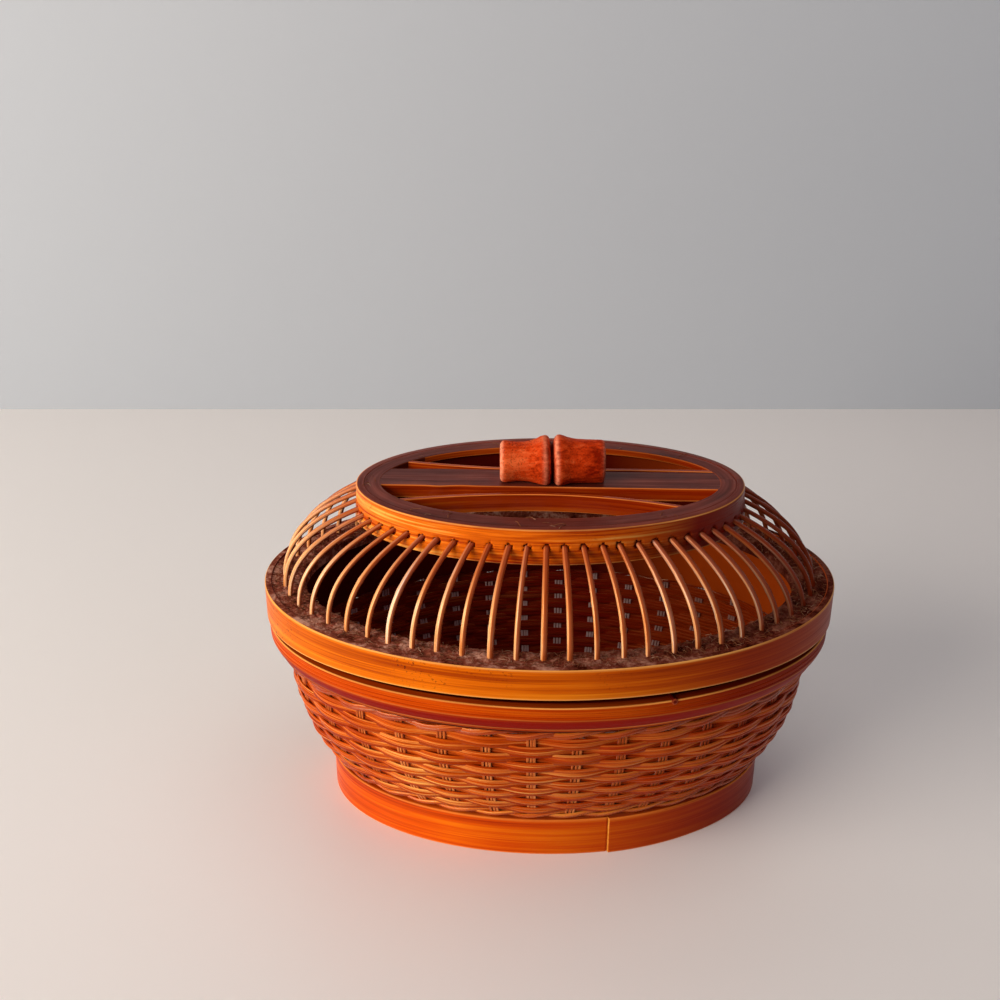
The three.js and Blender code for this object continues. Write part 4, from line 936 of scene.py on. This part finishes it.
# %% Cane joints and section
# a joint is a short swelling at its own height on each rib, past either end on some
away = add("SUBTRACT", h, add("MULTIPLY_ADD", lots[2], 0.75, 0.45))
away = add("POWER", add("MULTIPLY", away, JOINT_SHORT), 2.0)
swell = add("EXPONENT", add("MULTIPLY", away, -1.0))
scale = add("MULTIPLY_ADD", swell, JOINT_SWELL, add("MULTIPLY_ADD", lots[3], 0.09, 1.0))
ring = section(add, place, 12, given["Width"], given["Thickness"], 0.9)
ribs = add("CurveToMesh", lines, ring, Scale=scale, Fill_Caps=True)
finished(add, ribs, given["Finish"], RIB_LENGTH, RIB_GIRTH)
ribs = grown(cage, "cage_ribs", "rib", "lid", [f"rib_set_{i + 1:02d}" for i in range(12)],
             {"Ribs": RIBS, "Width": 0.0019, "Thickness": 0.0016, "Bend": 2.15, "Uneven": 0.1,
              "Seed": 100})

# %% [markdown]
# ## Top ring
#
# The ring is an upright band round a flat core. Its top has gone dark from hands, and its band
# is golden. Where each rib goes in, the band's hole is chewed, and painted dark as shade. The band
# is a fine grid, and its points near a rib's mouth are pushed in, so the holes are real hollows.

# %% Where the ribs end
count = len(ribs.data.vertices)
spots, ends = np.zeros((count, 3), np.float32), np.zeros(count, np.float32)
ribs.data.vertices.foreach_get("co", spots.ravel())
ribs.data.attributes["along"].data.foreach_get("value", ends)
mouths = (spots[ends > 0.999] / MM).reshape(RIBS, -1, 3).mean(1)
print("rib mouths:", len(mouths), "at a height of", mouths[:, 2].mean().round(1))

# %% Band with rib holes
HOLE, HOLE_DEPTH, HOLE_EDGE, CHEW, HOLE_DROP = 1.95, 1.3, 0.7, 0.22, 0.35
BAND_INNER = -2.7
band_turns = even_angles(OVALS["ring"], 840)
heights = np.linspace(BAND_BOTTOM, RING_TOP - 0.5, 26)
leans = np.interp(heights, [BAND_BOTTOM, 117.0, RING_TOP], [0.8, 0.1, 0.0])
rows = [(offset + wander(band_turns, 37, 0.06), z) for offset, z in zip(leans, heights)]
rows += [(-0.12, RING_TOP - 0.12), (-0.5, RING_TOP), (BAND_INNER, RING_TOP), (BAND_INNER, BAND_BOTTOM)]
sections = np.stack([on_oval(OVALS["ring"], band_turns, *row) for row in rows], 1)
face = len(heights)
skin = sections[:, :face]
gaps = np.linalg.norm(skin[:, :, None] - (mouths - (0, 0, HOLE_DROP)), axis=-1).min(-1)
chew = np.random.default_rng(38).normal(0, CHEW, gaps.shape)
pit = np.clip((HOLE + chew - gaps) / HOLE_EDGE, 0, 1)
skin -= direction(OVALS["ring"], band_turns)[:, None] * (pit * HOLE_DEPTH)[..., None]
# the band's top and bottom edges are paler: wear with a painted highlight
worn = np.zeros(sections.shape[:2])
worn[:, face], worn[:, 0] = 0.8, 0.6
band = piece("ring_band", [lofted(sections, True, 37, worn)],
             "band", "lid", ["top_ring_band"], smooth=70)
hollow = np.append(pit, np.zeros((len(band_turns), len(rows) - face)), 1)
hollow = (hollow + np.roll(hollow, -1, 0)) / 2
hollow = ((hollow + np.roll(hollow, -1, 1)) / 2).ravel() > 0.3
# painted shade: the rib holes are painted dark
paint(band, "peg", lambda *_: hollow)
paint(band, "ring", lambda x, y, z, up, out: (up > 0.85) & (z > RING_TOP - 0.03))
# painted shade under the band
paint(band, "inner", lambda x, y, z, up, out: up < -0.7)

# %% [markdown]
# The core is two layers. The upper one is cut to the opening, and its cut edge is painted red
# only where the window light reaches it, as painted light; the lower one is set back and painted
# dark as shade.

# %% Core
CORE_BOTTOM, LAYER = 110.5, RING_TOP - 2.4
core = piece("ring_core", [
    hoop([("ring", -2.75, LAYER), ("ring", -2.75, RING_TOP - 0.02), ("ring_inner", 0, RING_TOP),
          ("ring_inner", 0, LAYER)], 41, 0.35, 0.0, rubbed=(0, 0, 0.4, 0.5)),
    hoop([("ring", -3.0, CORE_BOTTOM), ("ring", -3.0, LAYER - 0.05), ("ring_inner", 1.1, LAYER - 0.05),
          ("ring_inner", 0.9, CORE_BOTTOM)], 42, 0.4, 0.05, rubbed=0)],
    "ring", "lid", ["top_ring_core"])
# painted light: the upper layer's cut edge takes the red edge finish only on the right and at the back,
# where the window light falls; elsewhere it keeps the dark ring finish
paint(core, "edge", lambda x, y, z, up, out: (
    (up < 0.6) & (z > LAYER - 0.02) & ((x > 12) | ((x > -44) & (y > 0)))))
# painted shade on the lower layer
paint(core, "inner", lambda x, y, z, up, out: z < LAYER - 0.03)
grown(litter, "ring_fibres", "fibre", "lid", [],
      {"Density": 14000.0, "Length": 0.0042, "Thickness": 0.00022, "Lowest": 0.1199, "Seed": 12}, core)

# %% [markdown]
# ## Slat, braces and knob
#
# A board lies across the ring and carries the knob. Two thin strips on edge brace it: the front
# one bows towards the front, and the back one comes from the left and runs on beside the board.
# The board's top is dark, its sawn sides are still red.


# %% Slat
def bump(x, at, wide):
    """A smooth rise to 1 and back round one place."""
    return np.exp(-(((x - at) / wide) ** 2))


SLAT_TURN, SLAT_WIDTH, SLAT_END, SAWN = math.radians(-2.2), 15.7, 60.5, 0.9
xs = np.linspace(-SLAT_END, SLAT_END, 90)
back = np.interp(xs, [-SLAT_END, -38, 25, SLAT_END], [10.7, 10.6, 7.5, 6.6])
front = np.interp(xs, [-SLAT_END, SLAT_END], [-4.2, -9.2])
torn = 0.5 * bump(xs, -38, 3) - 0.35 * bump(xs, -30, 4)
low, high = RING_TOP - SLAT_THICKNESS, RING_TOP - 0.12
corners = [(back, low - 1.4), (back, high), (front - torn, high), (front - 0.2, low + 1.0),
           (front + 0.5, low - 1.4)]
sections = np.stack([np.stack([xs, y, np.full_like(xs, z)], -1) for y, z in corners], 1)
slat = piece("slat_board", [strip_of(sections, 0.3, own=51)], "slat", "lid", ["slat"])
paint(slat, "edge", lambda x, y, z, up, out: (abs(up) < 0.6) & (z > low + SAWN))
# painted shade along the board's underside
paint(slat, "inner", lambda x, y, z, up, out: z < low + SAWN)

# %% [markdown]
# A brace is nearest to the board at one place and bows away from it to both sides as a bent strip
# does, so its line is a parabola on each side.

# %% Braces
SEATED = 2.0  # how far a brace's end reaches into the ring


def brace(left, right, nearest, away, side, own):
    """A thin strip on edge from the ring on the left, past the slat, to the ring on the right.
    An end is an angle on the ring, or the word slat where the strip keeps beside the slat."""
    def beside(x):
        edge = 1 + x * math.tan(SLAT_TURN) + side * SLAT_WIDTH / 2 / math.cos(SLAT_TURN)
        return edge + side * (away + BRACE_THICKNESS / 2)

    turns = np.radians(np.linspace(0, 60, 2401))
    seats = on_oval(OVALS["ring_inner"], turns, SEATED)
    along_slat = turns[np.abs(seats[:, 1] - beside(seats[:, 0])).argmin()]
    ends = [on_oval(OVALS["ring_inner"], along_slat if end == "slat" else math.radians(end), SEATED)
            for end in (left, right)]
    xs = np.linspace(ends[0][0], ends[1][0], 60)
    far = np.where((xs < nearest)[:, None], *ends)
    ys = beside(nearest) + (far[:, 1] - beside(nearest)) * ((xs - nearest) / (far[:, 0] - nearest)) ** 2
    slope = np.gradient(ys, xs)
    across = np.stack([-slope, np.ones_like(xs)]) / np.hypot(slope, 1) * BRACE_THICKNESS / 2
    low, high = RING_TOP - BRACE_HEIGHT, RING_TOP - 0.1
    rows = [np.stack([xs + s * across[0], ys + s * across[1], np.full_like(xs, z)], -1)
            for s, z in ((1, low), (1, high), (-1, high), (-1, low))]
    return strip_of(np.stack(rows, 1), 0.22, own=own)


piece("front_brace_strip", [brace(210, 316.8, -8, 5.3, -1, 52)],
      "edge", "lid", ["front_brace"])
piece("back_brace_strip", [brace(149.3, "slat", 6, 0.45, 1, 53)],
      "edge", "lid", ["back_brace"])

# %% [markdown]
# The knob is a piece of root with one node in its middle: two swellings with a deep groove
# between them. It is turned as a profile round the X axis, made a little uneven, and flattened
# where it sits on the slat.

# %% Knob
KNOB_SEAT, KNOB_AXIS, GROOVE_X, GROOVE_WIDTH, FUZZ = 120.6, 127.0, 0.4, 0.55, 0.035
KNOB_PROFILE = [
    (-17.2, 2.5), (-17.2, 5.2), (-17.1, 5.9), (-16.8, 6.5), (-16.2, 7.0), (-15.3, 7.15),
    (-13.8, 6.95), (-11.5, 6.7), (-9, 6.75), (-7, 7.05), (-5, 7.7), (-3.4, 8.5), (-2.2, 8.95),
    (-1.3, 8.85), (-0.7, 8.4), (-0.25, 7.5), (0.05, 6.5), (0.4, 6.2), (0.75, 6.5), (1.1, 7.5),
    (1.6, 8.5), (2.3, 9.1), (3.3, 9.2), (4.6, 8.85), (6.5, 8.1), (9, 7.7), (12, 7.55), (15, 7.5),
    (17.3, 7.45), (17.9, 7.3), (18.25, 6.95), (18.4, 6.2), (18.4, 2.5)]  # place along, radius
steps = np.arange(len(KNOB_PROFILE))
halves = np.arange(0, len(steps) - 0.75, 0.5)
xs, radii = [np.interp(halves, steps, v) for v in np.transpose(KNOB_PROFILE)]
# painted highlights: paler spots where the window light catches the left end, both sides of the groove
# and the right end
rub = sum(much * bump(xs, at, wide) for at, wide, much in (
    (-16.8, 0.7, 1.0), (2.0, 0.7, 0.8), (-1.9, 0.8, 0.5), (18.0, 0.5, 0.4)))
xs, radii, around = xs[:, None], radii[:, None], np.linspace(0, 2 * np.pi, 121)[:-1]
fuzz = np.random.default_rng(61).normal(0, FUZZ, (len(xs), len(around)))
wobble = 1 + 0.02 * np.sin(3 * around + 1) + 0.01 * np.sin(7 * around + xs * 0.15)
reach = radii * wobble + fuzz * (radii > 5)
sway = 0.25 * np.sin(2 * around + 0.6) * bump(xs, GROOVE_X, 4)
height = np.maximum(KNOB_AXIS + reach * np.sin(around), KNOB_SEAT)
sections = np.stack([xs + sway, reach * np.cos(around), height], -1)
knob = piece("knob_node", [lofted(sections, False, 60, rub[:, None])],
             "knob", "lid", ["knob"], smooth=70)
# painted shade in the groove
paint(knob, "peg", lambda x, y, z, up, out: abs(x - GROOVE_X) < GROOVE_WIDTH)
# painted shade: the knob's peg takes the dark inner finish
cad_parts["knob_peg"].data.materials[0] = FINISH["inner"]

# %% [markdown]
# ## Stakes
#
# Each stake is three thin splints side by side. In the base they spread to a wider strip, the
# long ones pass over and under the cross ones, and all turn up into the wall.

# %% A stake's path
NARROW, WIDER, WALL_RUN, SPREAD_START, SPREAD_RUN = 3.4, 5.6, 58.0, 5, 15
WALL_HEIGHTS = np.append(np.linspace(71.4, 17.3, 14), [16.2, 15.45])
base_oval = wall_oval(BASE_MIDDLE)
stake_turns = even_angles(base_oval, STAKES, 0.5)


def stake_path(first, last, across, base):
    """Middles, side directions and thickness directions of one stake, from end to end."""
    ends, upright = [], np.clip((WALL_HEIGHTS - 15) / 4, 0, 1)[:, None]
    for turn in (first, last):
        middles = np.stack([on_oval(wall_oval(z), turn, 0, z) for z in WALL_HEIGHTS])
        out = direction(base_oval, np.full(len(WALL_HEIGHTS), turn))
        tangent = np.cross([0, 0, 1], out)
        tangent *= np.sign(tangent @ across)[:, None]
        turned = (tangent * upright + across * (1 - upright),
                  -out * upright + np.array([0, 0, 1]) * (1 - upright))
        ends.append([middles, *[v / np.linalg.norm(v, axis=1, keepdims=True) for v in turned]])
    flat = [base, across + 0 * base, [0, 0, 1] + 0 * base]
    return [np.concatenate([start, mid, end[::-1]]) for start, mid, end in zip(ends[0], flat, ends[1])]


def splints(path, seed):
    """Three thin strips that share a stake's path, wider in the base than in the wall."""
    middles, sides, throughs = path
    walked = np.append(0, np.cumsum(np.linalg.norm(np.diff(middles, axis=0), axis=1)))
    in_base = np.minimum(walked, walked[-1] - walked) - WALL_RUN
    width = NARROW + WIDER * np.clip((in_base - SPREAD_START) / SPREAD_RUN, 0, 1)
    rng, made = np.random.default_rng(seed), []
    for lane in (-1, 0, 1):
        shift = (lane * width / 3 + rng.normal(0, 0.08))[:, None]
        half = (width / 6 - 0.1 - abs(rng.normal(0, 0.05)))[:, None]
        lift = rng.normal(0, 0.05)
        rows = [middles + sides * (shift + c * half) + throughs * (d * 0.38 + lift)
                for c, d in ((-1, -1), (1, -1), (1, 1), (-1, 1))]
        made.append(strip_of(np.stack(rows, 1), 0.25, own=seed + lane * 0.3))
    return made


# %% Cross stakes and long stakes
TURN_UP = 2.2  # how far before the wall a strip begins to turn up
OVER = 1.25  # how far a strip lifts to pass over another
CROSS = [12 - i for i in range(10)]
LONG = [29, 30, 31, 0, 1, 2]
corners = on_oval(base_oval, stake_turns, 0, BASE_MIDDLE)
parts = []
for i, k in enumerate(CROSS):
    x, end, _ = corners[k]
    ys = np.linspace(-end + TURN_UP, end - TURN_UP, 24)
    points = np.stack([np.full(24, x), ys, np.full(24, BASE_MIDDLE)], -1)
    turns = stake_turns[[STAKES - 1 - k, k]]
    parts += splints(stake_path(*turns, np.array([1.0, 0, 0]), points), 200 + i)
piece("cross_stakes", parts, "stake", "bowl",
      [f"cross_stake_{i + 1:02d}" for i in range(len(CROSS))])
parts = []
for row, k in enumerate(LONG):
    end, y, _ = corners[k]
    lone = [row in (0, 5) and i in (0, 9) for i in range(10)]  # the corners have no strip below
    lifts = [OVER if lone[i] or (i + row) % 2 == 0 else -OVER for i in range(10)]
    knot_xs = [-end + TURN_UP, -end + 5, *corners[CROSS, 0], end - 5, end - TURN_UP]
    knot_zs, steps = [0, 0, *lifts, 0, 0], np.arange(14)
    xs = np.linspace(-end + TURN_UP, end - TURN_UP, 80)
    at = np.interp(xs, knot_xs, steps)
    u = at % 1
    lift = np.interp(at - u + u * u * (3 - 2 * u), steps, knot_zs)
    points = np.stack([xs, np.full(80, y), BASE_MIDDLE + lift], -1)
    turns = stake_turns[[(STAKES // 2 - 1 - k) % STAKES, k]]
    parts += splints(stake_path(*turns, np.array([0, 1.0, 0]), points), 300 + row)
piece("long_stakes", parts, "stake", "bowl",
      [f"long_stake_{i + 1:02d}" for i in range(len(LONG))])

# %% [markdown]
# ## Size
#
# The box round the dressed basket is measured and printed in millimetres.

# %% Size
low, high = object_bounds()
print("visual size (mm):", [round(v / MM, 1) for v in high - low])
